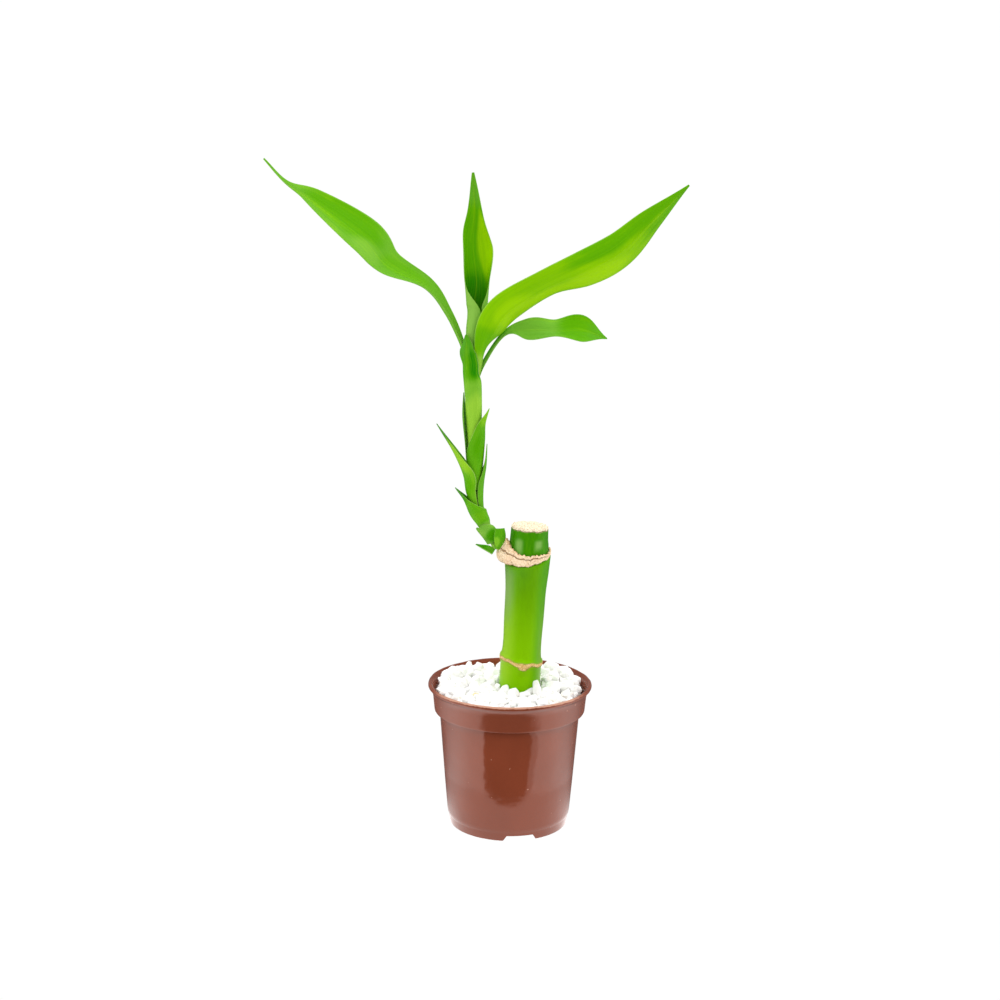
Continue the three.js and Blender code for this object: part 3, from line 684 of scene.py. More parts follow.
def build_gravel(sizes):
    rng = random.Random(sizes.seed)
    bm = spun(BED_PROFILE, 64, layer="tone")
    bm.verts.layers.float.new("stain")
    for vert in bm.verts:
        keep_clear(vert)
    for i, (u, v, wide, tall) in enumerate(LAID_CHIPS):
        at = on_gravel(u, v + tall * SUNK)
        width = wide / PIXELS_PER_MM / 2
        depth = width * rng.uniform(0.8, 1.05)
        upright = (tall / PIXELS_PER_MM / 2) ** 2 - (LOOK_SINE * depth) ** 2
        height = max(THINNEST, math.sqrt(max(0.2, upright)) / LOOK_COSINE)
        half = (width * WORN_WIDTH, depth * WORN_WIDTH, height * WORN_HEIGHT)
        add_chip(bm, rng, at, half, rng.uniform(-0.3, 0.3),
                 rng.uniform(-0.25, 0.25), stain=1.0 if i == STAINED_CHIP else 0.0)
    for i in range(sizes.filling):
        radius = FILLING_RADIUS * math.sqrt((i + 0.5) / sizes.filling)
        x, y = radius * math.cos(GOLDEN_ANGLE * i), radius * math.sin(GOLDEN_ANGLE * i)
        size = rng.uniform(sizes.smallest, sizes.largest) / MM / 2
        drop = 1.1 if y < 14 else 0.5
        if math.hypot(x - cane_axis(51), y) < 7:
            continue
        add_chip(bm, rng, Vector((x, y, gravel_height(x, y) - drop)),
                 (size, size * 0.82, size * 0.72), rng.uniform(-0.6, 0.6), rng.uniform(0, 6.28))
    seat(bm, "gravel_chips", stone_finish(sizes), ["gravel"], sharp=50)


# ---------------------------------------------------------------- cane
# Where the lower leaf scar, its bud, the upper joint and the cut end stand on the cane.
SCAR_HEIGHT, SCAR_TILT, BUD_X, BUD_HEIGHT = 62.3, 0.9, 0.4, 60.9
JOINT_HEIGHT, CUT_LEVEL = 101.0, 111.3
CANE_PROFILE = [(7.45, 13.5), (7.45, 40), (7.45, 58), (7.5, 60.6), (7.85, 61.7), (7.95, 62.3),
                (7.8, 62.9), (7.3, 63.8), (7.05, 66), (6.98, 70), (7.2, 78.3), (7.35, 88),
                (7.85, 95), (8.1, 98.6), (8.15, 100.2), (7.75, 100.8), (7.2, 101.2), (7.2, 103.5),
                (7.1, 105), (6.9, 107), (6.75, 110), (6.7, 111.3), (6.62, 111.9), (6.4, 112.25),
                (6.1, 112.4)]


def cane_axis(height):
    """Where the leaning cane's axis passes at a height, from the pot's axis."""
    return CANE_FOOT_X + math.tan(settings("cane").lean) * (height - CANE_FOOT)


def joint_tilt(azimuth):
    return 1.45 * math.cos(azimuth) + 2.05 * math.sin(azimuth)


def on_cane_axis(bm):
    move(bm, (0, 0, -CANE_FOOT))
    swing(bm, settings("cane").lean, "Y")
    move(bm, (CANE_FOOT_X, 0, CANE_FOOT))


def build_cane(sizes):
    wider = sizes.radius / MM / CANE_RADIUS
    profile = smooth_profile([(r * wider, z) for r, z in CANE_PROFILE], 1.0)
    foot = [(0, CANE_FOOT), (6.6 * wider, CANE_FOOT), (7.1 * wider, CANE_FOOT + 0.3)]
    end = [(5.2, 112.35), (3.5, 112.25), (1.8, 112.3), (0, 112.2)]
    marks = [z for _, z in foot + profile] + [112.4 + 6.1 - r for r, _ in end]
    bm = spun(foot + profile + end, 96, marks=marks)
    level = bm.verts.layers.float["level"]
    for vert in bm.verts:
        x, y, z = vert.co
        azimuth = math.atan2(y, x)
        near_scar = math.exp(-((z - SCAR_HEIGHT) / 8) ** 2)
        near_joint = math.exp(-((z - JOINT_HEIGHT) / 5) ** 4)
        near_end = max(0.0, min(1.0, (z - 108) / 4))
        ragged = 0.12 * math.sin(9 * azimuth + 2) + 0.1 * math.sin(17 * azimuth)
        vert.co.z += near_joint * joint_tilt(azimuth) - near_scar * SCAR_TILT * math.cos(azimuth)
        vert.co.z += near_end * ragged * math.hypot(x, y) / 7
        scar_line = math.exp(-((z - SCAR_HEIGHT) / 0.9) ** 2)
        vert.co.z += scar_line * (0.35 * math.sin(5 * azimuth + 0.7) + 0.2 * math.sin(11 * azimuth))
        if y < 0:
            bud = math.exp(-((z - BUD_HEIGHT) / 1.5) ** 2 - ((x - BUD_X) / 2.3) ** 2)
            vert.co.y -= 1.15 * bud
            mark = math.exp(-((z - BUD_HEIGHT + 0.5) / 1.1) ** 2 - ((x - BUD_X - 0.2) / 2.5) ** 2)
            vert[level] += 1.55 * mark
    on_cane_axis(bm)
    seat(bm, "cane_stalk", cane_finish(sizes), ["cane"])


# ---------------------------------------------------------------- dried leaf base at the joint
COLLAR_INNER, COLLAR_THICKNESS = 7.5, 0.7


def build_collar(sizes):
    count = 14
    shares = [i / count for i in range(count + 1)]
    proud = [COLLAR_THICKNESS * min(1, 0.55 + 3 * min(s, 1 - s)) for s in shares]
    ring = [(COLLAR_INNER, 0.02)] + [(COLLAR_INNER + p, s) for p, s in zip(proud, shares)]
    ring += [(COLLAR_INNER, 0.98), (COLLAR_INNER, 0.5)]
    bm = spun(ring, 160, layer="share", ring=True)
    for vert in bm.verts:
        x, y, share = vert.co
        azimuth, radius = math.atan2(y, x), math.hypot(x, y)
        to_shoot = max(0, math.cos(azimuth - math.radians(190))) ** 6
        ragged = 0.3 * math.sin(azimuth * 9) * math.sin(azimuth * 4 + 1)
        torn = 0.2 * math.sin(azimuth * 31) + 0.14 * math.sin(azimuth * 53 + 1)
        width = 2.7 - 1.6 * math.cos(azimuth) - 1.25 * math.sin(azimuth) + 3.2 * to_shoot
        vert.co.z = (JOINT_HEIGHT + joint_tilt(azimuth) + share * width + ragged
                     + torn * (2 * share - 1) * (1 if share > 0.5 else 0.4))
        outer = radius > COLLAR_INNER + 0.1
        groove = 0.3 * math.exp(-((share - 0.62 + 0.05 * math.sin(azimuth * 6)) / 0.07) ** 2)
        swell = 3.4 * to_shoot * math.sin(math.pi * (0.25 + 0.7 * share)) - groove if outer else 0
        vert.co.xy *= 1 + swell / radius
    on_cane_axis(bm)
    seat(bm, "dried_joint_tissue", tissue_finish(sizes), ["dried_collar"])


# ---------------------------------------------------------------- shoot
SHOOT_LINE = [Vector(p) for p in (
    (-4.9, -1, 104), (-9.3, -0.8, 111.5), (-12.7, -0.5, 119.5), (-13.7, 0, 127.5),
    (-13.5, 0, 135.5), (-13.5, 0, 143.5), (-13.8, 0, 151.5), (-14.1, 0, 159.5),
    (-14.6, 0, 167.5), (-14.9, 0, 175.5), (-15, 0, 183.5))]


def along_curve(points, t):
    """A point of the smooth curve through the points, and its direction there."""
    spans = len(points) - 1
    i = min(int(t * spans), spans - 1)
    w = t * spans - i
    b, c = points[i], points[i + 1]
    a = points[i - 1] if i > 0 else 2 * b - c
    d = points[i + 2] if i + 2 <= spans else 2 * c - b
    ahead = 0.5 * ((c - a) + 2 * (2 * a - 5 * b + 4 * c - d) * w
                   + 3 * (3 * b - a - 3 * c + d) * w ** 2)
    return between(a, b, c, d, w), ahead


def shoot_centre(height):
    low, high = 0.0, 1.0
    for _ in range(24):
        middle = (low + high) / 2
        if along_curve(SHOOT_LINE, middle)[0].z < height:
            low = middle
        else:
            high = middle
    return along_curve(SHOOT_LINE, (low + high) / 2)[0]


def build_stem(sizes):
    profile = [(0, 103.8), (2, 103.8), (1.9, 105), (1.6, 106.5)]
    profile += [(0.85, height) for height in range(109, 149)]
    profile += [(0.8, 150.2), (0.5, 150.8), (0, 151)]
    bm = spun(profile, 24)
    for vert in bm.verts:
        vert.co.xy += shoot_centre(vert.co.z).xy
    f = Finish("shoot_core")
    point = f.place()
    x, y, z = f.axis_values(point)
    strands = f.noise(f.joined(x * 3, y * 3, z * 0.3), 1.0, 4)
    colour = f.mix(f.step(strands, 0.3, 0.7), shade(sizes.green, 0.9), sizes.young)
    material = f.surface(colour, 0.45, f.bump(strands, 0.2))
    seat(bm, "shoot_core", material, ["shoot_stem"])


# How much thinner a blade is at its edges and at its tip than along its middle.
EDGE_THINNING, TIP_THINNING = 0.7, 0.6


def station(at, faces, width, rolled):
    """Where a blade's middle passes, which way its upper side looks, its width and its roll."""
    return Vector(at), Vector(faces).normalized(), width, rolled


def clasp(height, azimuth, radius, rolled):
    """A station that clasps the shoot at a height, its middle line at an azimuth."""
    side = outward(azimuth)
    return shoot_centre(height) + side * radius, -side, radius * math.radians(rolled), rolled


def blade(stations, along, across, thickness, fold, wave=0.0, waves=3, veins=0.0):
    """A leaf or bract through its stations: a flat sheet, rolled and bent into place."""
    bm = bmesh.new()
    uv = bm.loops.layers.uv.new("blade")
    under = bm.verts.layers.float.new("under")
    bmesh.ops.create_grid(bm, x_segments=across, y_segments=along, size=1)
    bmesh.ops.solidify(bm, geom=bm.faces[:], thickness=1.0)
    bmesh.ops.recalc_face_normals(bm, faces=bm.faces)
    middle = (max(v.co.z for v in bm.verts) + min(v.co.z for v in bm.verts)) / 2
    for face in bm.faces:
        for loop in face.loops:
            x, y, _ = loop.vert.co
            loop[uv].uv = ((y + 1) / 2, (x + 1) / 2)
    places = [s[0] for s in stations]
    facings = [s[1] for s in stations]
    sections = [Vector((s[2], s[3], 0)) for s in stations]
    rows = {}
    for vert in bm.verts:
        s, t, lift = vert.co.x, (vert.co.y + 1) / 2, (vert.co.z - middle) * 2
        vert[under] = 1.0 if lift < 0 else 0.0
        key = round(t * 4096)
        if key not in rows:
            at, ahead = along_curve(places, t)
            ahead.normalize()
            normal = along_curve(facings, t)[0]
            normal = (normal - ahead * normal.dot(ahead)).normalized()
            width, rolled, _ = along_curve(sections, t)[0]
            rows[key] = at, normal, ahead.cross(normal), width, rolled
        at, normal, side, width, rolled = rows[key]
        half_arc = max(math.radians(rolled), 0.02) / 2
        radius = width / 2 / half_arc
        turn = s * half_arc
        leaf = normal * math.cos(turn) - side * math.sin(turn)
        flatness = max(0.0, 1 - rolled / 180) * min(1.0, width / 8)
        ripple = wave * flatness * s * s * math.sin(2 * math.pi * waves * t + 1.3 * s)
        keel = fold * flatness * (1 - min(1.0, abs(s) * 2.5))
        ribs = veins * flatness * math.sin(s * 34)
        half = thickness / 2 * (1 - EDGE_THINNING * abs(s) ** 3) * (1 - TIP_THINNING * t ** 6)
        vert.co = (at + side * (radius * math.sin(turn)) + normal * (radius * (1 - math.cos(turn)))
                   + leaf * (lift * half + ripple - keel + ribs))
    bmesh.ops.recalc_face_normals(bm, faces=bm.faces)
    return bm


# The stations of each bract, from its foot to its tip.
BRACTS = {
    "bract_basal": [
        station((-6.6, -4.9, 103), (0.4, -0.5, 0.8), 3.8, 100),
        station((-9.3, -4.3, 104.4), (0.3, -0.5, 0.85), 3.4, 100),
        station((-12.8, -1.8, 105.3), (0.3, -0.3, 0.9), 0.9, 50)],
    "bract_torn": [
        station((-4.9, -5.4, 104.8), (-0.4, 0.9, 0), 2, 60),
        station((-3.95, -5.2, 108.4), (-0.4, 0.9, 0), 4.9, 80),
        station((-4, -4.8, 112), (-0.4, 0.9, 0), 3.6, 60)],
    "bract_lower": [
        clasp(105.6, 210, 2.7, 240), clasp(108.6, 212, 2.9, 254), clasp(111.2, 205, 3.6, 110)],
    "bract_left_short": [
        clasp(109, 190, 1.5, 300), clasp(111, 190, 2.2, 310), clasp(112.8, 190, 2.6, 310),
        clasp(115.2, 190, 3.3, 275), clasp(117.6, 190, 3.55, 200),
        station((-17.2, -0.8, 121.6), (0.7, 0, 0.6), 5.6, 110),
        station((-20.4, -1, 125.8), (0.7, 0, 0.6), 0.9, 60)],
    "bract_right_thin": [
        clasp(117, 5, 1.6, 145), clasp(122, 5, 2.6, 145), clasp(128, 5, 3.3, 125),
        station((-9.6, -0.4, 134.5), (-1, 0, 0), 3.4, 60),
        station((-9.2, -0.6, 141.8), (-1, 0, 0.1), 0.9, 40)],
    "bract_left_long": [
        clasp(117, 192, 1.75, 170), clasp(124, 194, 2.8, 175), clasp(130.5, 190, 3.75, 170),
        station((-20.8, -0.8, 138.6), (0.9, 0, 0.5), 5.4, 120),
        station((-27.1, -1, 148.9), (0.8, 0, 0.6), 0.9, 60)],
    "bract_right": [
        clasp(125.5, 315, 1.95, 200), clasp(131, 314, 2.6, 222), clasp(137, 318, 2.95, 246),
        clasp(143.5, 330, 3.4, 170), clasp(149, 338, 3.75, 100),
        station((-8.5, -1.6, 154.7), (-1, 0.2, 0.1), 0.9, 40)],
    "bract_left": [
        clasp(133, 140, 2.65, 96), clasp(142, 148, 3.45, 86), clasp(151, 165, 4, 70),
        station((-17.65, 1.6, 159.8), (1, -0.2, 0), 0.9, 20)],
}

# The stations of each leaf, and how finely it is divided and how much its edges wave.
LEAVES = {
    "leaf_sheath": ([
        clasp(129, 195, 1.6, 280), clasp(139, 195, 2, 290), clasp(151, 204, 2.66, 290),
        clasp(157, 210, 2.85, 284), clasp(163, 215, 3.05, 262), clasp(167, 224, 3.2, 190),
        clasp(170.5, 240, 3.4, 142), station((-17, -3.45, 174.5), (0.45, 0.9, 0), 7.4, 112),
        station((-16.7, -3.3, 177.8), (0.45, 0.9, 0), 4.2, 90),
        station((-16.8, -2.7, 180.9), (0.4, 0.9, 0), 0.9, 40)],
        {"along": 110, "across": 30}),
    "leaf_left": ([
        clasp(157, 178, 1.95, 108), clasp(165, 178, 2, 112), clasp(168.5, 178, 2.1, 100),
        station((-17.3, 0.9, 172), (0.97, 0, 0.2), 3.7, 92),
        station((-19.5, 1.8, 178.6), (0.9, -0.2, 0.4), 5.1, 104),
        station((-24.4, 3, 188.1), (0.8, -0.3, 0.5), 6.4, 105),
        station((-31.4, 6, 196.9), (0.4, -0.5, 0.8), 7.8, 90),
        station((-45.3, 9, 203.6), (0.4, -0.6, 0.7), 14, 60),
        station((-53.8, 9, 212.9), (0.5, -0.6, 0.6), 19, 50),
        station((-70.8, 8.5, 225.7), (0.5, -0.5, 0.7), 11.6, 60),
        station((-80.3, 7, 232), (0.7, -0.3, 0.6), 3.4, 60),
        station((-87.6, 4, 240.4), (0.5, -0.5, 0.7), 0.9, 40)],
        {"along": 150, "across": 26, "wave": 0.4, "waves": 5}),
    "leaf_right": ([
        clasp(155, 316, 1.6, 100), clasp(163, 316, 1.85, 96),
        station((-11.9, -0.8, 169), (-0.87, 0.5, 0.1), 4.2, 115),
        station((-10.7, -1.6, 175.5), (-0.8, 0.55, 0.15), 7.7, 130),
        station((-7.3, -3.4, 181.8), (-0.5, 0.8, 0.3), 13.8, 115),
        station((-2, -5, 189.5), (-0.3, 0.8, 0.5), 15.2, 90),
        station((11, -7, 198.1), (-0.2, 0.8, 0.6), 14, 70),
        station((24, -9, 204.1), (-0.1, 0.9, 0.4), 14.8, 60),
        station((36, -10.5, 211), (-0.2, 0.9, 0.4), 14.6, 55),
        station((46.2, -11.5, 221.6), (-0.2, 0.9, 0.3), 9.2, 55),
        station((58.5, -12, 233.7), (-0.5, 0.7, 0.5), 0.9, 40)],
        {"along": 130, "across": 30, "wave": 0.4, "waves": 4}),
    "leaf_rolled": ([
        clasp(154, 110, 0.75, 270), clasp(163, 110, 0.9, 300),
        station((-15.35, 1.5, 172), (0.5, -0.9, 0), 7.2, 312),
        station((-16.5, 1.1, 182), (0.9, -0.45, 0), 12.9, 335),
        station((-14.5, 3.2, 190), (0.35, -0.94, 0), 20.8, 340),
        station((-13.4, 3.6, 198.5), (0.05, -1, 0), 15, 205),
        station((-14.8, 3.4, 210.8), (0.45, -0.9, 0), 15.2, 150),
        station((-14.2, 2.6, 222.9), (0, -1, 0), 6.4, 110),
        station((-14.95, 1.6, 236.6), (0.1, -1, 0), 0.9, 60)],
        {"along": 110, "across": 30}),
    "leaf_short": ([
        clasp(155, 60, 1.65, 52), clasp(163, 62, 2, 52),
        station((-10.35, 2.25, 170.5), (-0.7, -0.6, 0.3), 2.4, 75),
        station((-3.4, 2.5, 180.3), (-0.4, -0.4, 0.8), 3.4, 100),
        station((4.9, 4, 182), (0.1, -0.9, 0.4), 8.3, 70),
        station((14.6, 5.5, 181.7), (0.1, -0.6, 0.8), 9.5, 55),
        station((24.3, 7, 181.7), (0.2, -0.7, 0.7), 11.8, 55),
        station((33, 9, 178.6), (0.3, -0.5, 0.8), 0.9, 40)],
        {"along": 90, "across": 22, "wave": 0.6, "waves": 3}),
}

# Each look: the tone (depth of green, bloom_and_sheen), how light the margins are, how strong the
# veins, the under side's tone, and patches: place along and across, half lengths, depth and
# bloom_and_sheen.
# bloom_and_sheen is waxy coat and painted sheen; the patches are partly painted light and shade.
LOOKS = {
    "bract_basal": {"tone": (0.5, 0.1), "margin": 0.6, "patches": [(0.75, 0.5, 0.35, 0.8, 0.3)]},
    "bract_torn": {"tone": (0.6, 0.05), "patches": [(0.3, 0.8, 0.3, 0.3, 1.3, 0.2)]},
    "bract_lower": {"tone": (0.95, 0.4), "margin": 0.6, "patches": [
        (0.3, 0.2, 0.3, 0.3, 0.4), (0.7, 0.6, 0.3, 0.3, 1.3, 0.5)]},
    "bract_left_short": {"tone": (0.8, 0.05), "margin": 0.5, "patches": [
        (0.95, 0.5, 0.2, 0.8, 0.2), (0.45, 0.5, 0.15, 0.5, 1.05, 0.05),
        (0.15, 0.4, 0.15, 0.5, 1.2, 0.4)]},
    "bract_right_thin": {"tone": (0.7, 0.1), "patches": [(0.4, 0.3, 0.5, 0.2, 1.6, 0.4)]},
    "bract_left_long": {"tone": (1.1, 0.12), "margin": 0.5, "patches": [
        (0.95, 0.5, 0.2, 0.8, 0.1), (0.7, 0.15, 0.2, 0.3, 1.8, 0.2), (0.35, 0.5, 0.2, 0.5, 0.8)]},
    "bract_right": {"tone": (0.8, 0.05), "margin": 0.5, "patches": [
        (0.97, 0.5, 0.2, 0.8, 1.5, 0.1), (0.55, 0.5, 0.2, 0.35, 0.6),
        (0.5, 0.2, 0.25, 0.2, 1.5, 0.2)]},
    "bract_left": {"tone": (0.6, 0.1)},
    "leaf_sheath": {"tone": (1.15, 0.25), "margin": 0.6, "patches": [
        (0.2, 0.2, 0.2, 0.35, 2, 0.4), (0.16, 0.5, 0.2, 1.5, 1.8, 0.35),
        (0.64, 0.5, 0.18, 1.5, 0.65), (0.95, 0.5, 0.24, 1.5, 0.4, 0.08),
        (0.68, 0.12, 0.18, 0.3, 0)]},
    "leaf_left": {"tone": (0.98, 0.2), "veins": 0.3, "patches": [
        (0.77, 0.7, 0.09, 0.5, 0.85), (0.7, 0.3, 0.05, 0.3, 1.15, 0.3),
        (0.24, 0.85, 0.14, 0.3, 0.6), (0.6, 0.6, 0.07, 0.3, 1, 0.05)]},
    "leaf_right": {"tone": (1.5, 0), "veins": 0.35, "patches": [
        (0.2, 0.4, 0.1, 1.5, 1.6, 0.4), (0.34, 0.6, 0.08, 0.6, 1.05), (0.5, 0.5, 0.07, 0.3, 1.9),
        (0.56, 0.3, 0.14, 0.2, 2), (0.72, 0.25, 0.1, 0.3, 2), (0.5, 0.02, 0.2, 0.12, 1.7, 0.3),
        (0.78, 0.85, 0.14, 0.3, 1), (0.97, 0.5, 0.13, 1.2, 0.9)]},
    "leaf_rolled": {
        "tone": (0.75, 0), "under": (1.3, 0.6), "margin": 0.6, "veins": 0.3, "patches": [
            (0.76, 0.82, 0.13, 0.24, 1.95), (0.57, 0.35, 0.11, 0.5, 0.12),
            (0.97, 0.5, 0.08, 1.5, 0.7, 0.15)]},
    "leaf_short": {"tone": (1, 0.28), "patches": [
        (0.85, 0.5, 0.14, 1.5, 0.85), (0.98, 0.5, 0.1, 1.5, 0.7, 0.05),
        (0.36, 0.15, 0.12, 0.18, 0.3)]},
}


def build_bracts(sizes):
    for name, stations in BRACTS.items():
        bm = blade(stations, 40, 18, sizes.leaf_thickness / MM, sizes.fold / MM)
        look = leaf_finish(name + "_skin", sizes, **LOOKS[name])
        seat(bm, name + "_sheath", look, [name])


def build_leaves(sizes):
    for name, (stations, shape) in LEAVES.items():
        bm = blade(stations, thickness=sizes.leaf_thickness / MM, fold=sizes.fold / MM,
                   veins=0.025, **shape)
        look = leaf_finish(name + "_skin", sizes, **LOOKS[name])
        seat(bm, name + "_blade", look, [name])


# ---------------------------------------------------------------- stage
# The camera stands where the pot's lip, band and foot fall as in the picture. Its place is in
# millimetres from the pot's axis; a millimetre at the gravel is PIXELS_PER_MM wide.
PIXELS_PER_MM = 2.74
CAMERA_PLACE = Vector((0, -636.17, 261.10))
CAMERA_RIGHT = Vector((0.9999, 0.0093, 0.0111))
CAMERA_UP = Vector((-0.0128, 0.2145, 0.9766))
PICTURE, SENSOR = 1000, 36.0
# The floor and the sheet lie this far under the pot; BACKDROP is the white that the camera sees.
FLOOR_DROP, SHEET_DROP, SHEET_RADIUS, BACKDROP = 0.4, 0.2, 1.5, 1.02


def on_gravel(u, v):
    """The point of the gravel's surface that shows at a place of the picture."""
    focal = settings("stage").lens / SENSOR * PICTURE
    forward = CAMERA_UP.cross(CAMERA_RIGHT)
    right, up = (u - PICTURE / 2) / focal, (PICTURE / 2 - v) / focal
    ray = forward + CAMERA_RIGHT * right + CAMERA_UP * up
    level = GRAVEL_LEVEL
    for _ in range(12):
        at = CAMERA_PLACE + ray * ((level - CAMERA_PLACE.z) / ray.z)
        level = gravel_height(at.x, at.y)
    out = max(1.0, math.hypot(at.x, at.y) / LAID_RADIUS)
    return Vector((at.x / out, at.y / out, at.z))


def build_stage(sizes):
    bm = bmesh.new()
    bmesh.ops.create_grid(bm, x_segments=1, y_segments=1, size=sizes.floor / 2)
    move(bm, (0, 0, -FLOOR_DROP * MM))
    sheet = bmesh.new()
    bmesh.ops.create_circle(sheet, cap_ends=True, segments=96, radius=SHEET_RADIUS)
    move(sheet, (AXIS.x, AXIS.y, -SHEET_DROP * MM))
    f = Finish("lit_white_floor")
    grain = f.noise(f.node("ShaderNodeTexCoord", {}, out=3), 30, 2)
    white = f.mix(f.step(grain, 0.0, 1.0), (1.0, 1.0, 1.0), (0.99, 0.99, 0.99))
    material = f.surface((0.0, 0.0, 0.0), 1.0, Emission_Color=white, Emission_Strength=BACKDROP,
                         Specular_IOR_Level=0.0)
    mirrored = sheet_finish(sizes)
    for name, shape, look in (("floor", bm, material), ("reflected_sheet", sheet, mirrored)):
        item = linked(name, shape)
        item.data.materials.append(look)
        item.visible_glossy = look is not material
        item.visible_camera = item.visible_diffuse = look is material
        item.visible_shadow = item.visible_transmission = False
    build_tent(sizes)
    camera_data = bpy.data.cameras.new("camera")
    camera_data.lens, camera_data.sensor_width = sizes.lens, SENSOR
    camera_data.clip_start, camera_data.clip_end = 0.01, 100
    camera = bpy.data.objects.new("camera", camera_data)
    bpy.context.scene.collection.objects.link(camera)
    back = CAMERA_RIGHT.cross(CAMERA_UP)
    turned = Matrix((CAMERA_RIGHT, CAMERA_UP, back)).transposed().to_4x4()
    camera.matrix_world = Matrix.Translation(CAMERA_PLACE * MM + AXIS) @ turned
    bpy.context.scene.camera = camera
    bpy.context.scene.view_settings.view_transform = "Standard"


def sheet_finish(sizes):
    """What the gloss reflects: bright side sheets, the stand's disc and the dark room in front."""
    f = Finish("reflected_sheet")
    x, y, _ = f.axis_values(f.place())
    ahead = f.step(y, -45.0, -50.0)
    left = f.step(x - y * 0.973, 11.0, 15.5)
    right = f.step(y + x * 0.967, -26.0, -30.0) * 0.55 + f.step(y + x * 0.64, -25.5, -29.5) * 0.45
    room = ahead * left * right
    distance = (x * x + y * y) ** 0.5
    stand = f.step(distance, 57.0, 53.0)
    behind = f.step(y / distance.most(1.0), -0.35, 0.8) * 0.95
    power = (sizes.tent * 1.42 - stand * sizes.tent * 0.35) * (1 - behind)
    power = power * (1 - room) + room * 0.05
    shader = f.node("ShaderNodeEmission", {}, (1.0, 1.0, 1.0, 1.0), power)
    f.node_output(shader)
    return f.owner


def build_tent(sizes):
    """A light tent: bright side walls, a paler back and top, and a dark room behind the camera."""
    world = bpy.data.worlds.new("light_tent")
    bpy.context.scene.world = world
    f = Finish("light_tent", world)
    x, y, z = f.axis_values(f.node("ShaderNodeTexCoord", {}, out=0))
    flat = (x * x + y * y).most(1e-4) ** 0.5
    front = (0 - y) / flat
    room = f.step(front, 0.42, 0.56)
    back = f.step(front, -0.2, -0.6)
    walls = sizes.tent + back * (0.35 - sizes.tent)
    walls = walls * (1 - room) + room * 0.08
    walls = walls * f.step(z, 0.75, 0.45) + 0.25 * f.step(z, 0.45, 0.75)
    dome = 1.15 + f.step(z, 0.0, 0.9) * 0.9 - f.step(front, 0.0, 0.9) * 0.3
    seen = f.node("ShaderNodeLightPath", {}, out=0)
    glossy = f.node("ShaderNodeLightPath", {}, out=3)
    power = dome * (1 - glossy) + walls * glossy
    power = power * (1 - seen) + seen * BACKDROP
    shader = f.node("ShaderNodeBackground", {}, (1.0, 1.0, 1.0, 1.0), power)
    f.node_output(shader, "ShaderNodeOutputWorld")


# ---------------------------------------------------------------- operators, panel, run
def finish_soil():
    """Gives the CAD soil its crumbly finish; its shape stays."""
    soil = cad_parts["soil"]
    material = soil_finish()
    if soil.data.materials:
        soil.data.materials[0] = material
    else:
        soil.data.materials.append(material)


class BAMBOO_OT_stage(bpy.types.Operator):
    """Builds the floor, the light tent and the camera."""
    bl_idname, bl_label = "bamboo.stage", "Stage"

    def execute(self, context):
        build_stage(context.scene.bamboo_stage)
        return {"FINISHED"}


class BAMBOO_OT_pot(bpy.types.Operator):
    """Builds the plastic pot."""
    bl_idname, bl_label = "bamboo.pot", "Pot"

    def execute(self, context):
        build_pot(context.scene.bamboo_pot)
        return {"FINISHED"}


class BAMBOO_OT_soil(bpy.types.Operator):
    """Gives the soil under the gravel its crumbly finish."""
    bl_idname, bl_label = "bamboo.soil", "Soil"

    def execute(self, context):
        finish_soil()
        return {"FINISHED"}


class BAMBOO_OT_gravel(bpy.types.Operator):
    """Lays the white gravel chips."""
    bl_idname, bl_label = "bamboo.gravel", "Gravel"

    def execute(self, context):
        build_gravel(context.scene.bamboo_gravel)
        return {"FINISHED"}


class BAMBOO_OT_cane(bpy.types.Operator):
    """Builds the cut cane."""
    bl_idname, bl_label = "bamboo.cane", "Cane"

    def execute(self, context):
        build_cane(context.scene.bamboo_cane)
        return {"FINISHED"}


class BAMBOO_OT_collar(bpy.types.Operator):
    """Builds the dried leaf base at the cane's joint."""
    bl_idname, bl_label = "bamboo.collar", "Dried tissue"

    def execute(self, context):
        build_collar(context.scene.bamboo_cane)
        return {"FINISHED"}


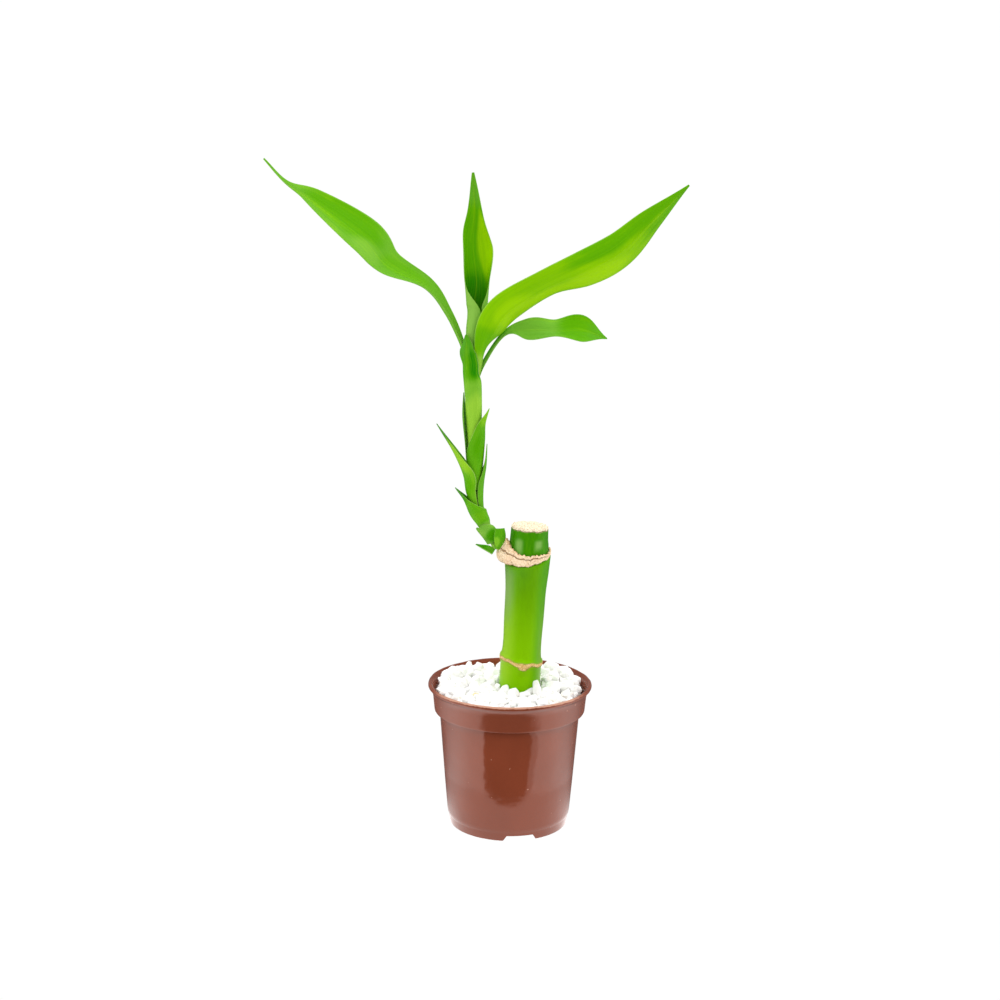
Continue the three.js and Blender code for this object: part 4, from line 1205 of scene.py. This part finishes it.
class BAMBOO_OT_stem(bpy.types.Operator):
    """Builds the core of the shoot."""
    bl_idname, bl_label = "bamboo.stem", "Shoot core"

    def execute(self, context):
        build_stem(context.scene.bamboo_foliage)
        return {"FINISHED"}


class BAMBOO_OT_bracts(bpy.types.Operator):
    """Builds the bracts up the shoot."""
    bl_idname, bl_label = "bamboo.bracts", "Bracts"

    def execute(self, context):
        build_bracts(context.scene.bamboo_foliage)
        return {"FINISHED"}


class BAMBOO_OT_leaves(bpy.types.Operator):
    """Builds the leaf sheath and the four leaves."""
    bl_idname, bl_label = "bamboo.leaves", "Leaves"

    def execute(self, context):
        build_leaves(context.scene.bamboo_foliage)
        return {"FINISHED"}


OPERATORS = [BAMBOO_OT_stage, BAMBOO_OT_pot, BAMBOO_OT_soil, BAMBOO_OT_gravel,
             BAMBOO_OT_cane, BAMBOO_OT_collar, BAMBOO_OT_stem, BAMBOO_OT_bracts,
             BAMBOO_OT_leaves]


class BAMBOO_PT_sidebar(bpy.types.Panel):
    """Lists the pieces of the plant and their sizes."""
    bl_label = "Lucky Bamboo"
    bl_space_type = "VIEW_3D"
    bl_region_type = "UI"
    bl_category = "Bamboo"

    def draw(self, context):
        for group, kind in SETTINGS.items():
            box = self.layout.box()
            for key in kind.__annotations__:
                box.prop(getattr(context.scene, "bamboo_" + group), key)
        for item in OPERATORS:
            self.layout.operator(item.bl_idname)


def register():
    for item in [*SETTINGS.values(), *OPERATORS, BAMBOO_PT_sidebar]:
        bpy.utils.register_class(item)
    for group, kind in SETTINGS.items():
        setattr(bpy.types.Scene, "bamboo_" + group, bpy.props.PointerProperty(type=kind))


def unregister():
    for group in SETTINGS:
        delattr(bpy.types.Scene, "bamboo_" + group)
    for item in [BAMBOO_PT_sidebar, *OPERATORS[::-1], *list(SETTINGS.values())[::-1]]:
        bpy.utils.unregister_class(item)


def main():
    register()
    for item in OPERATORS:
        getattr(bpy.ops.bamboo, item.bl_idname.split(".")[1])()


if __name__ == "__main__":
    main()
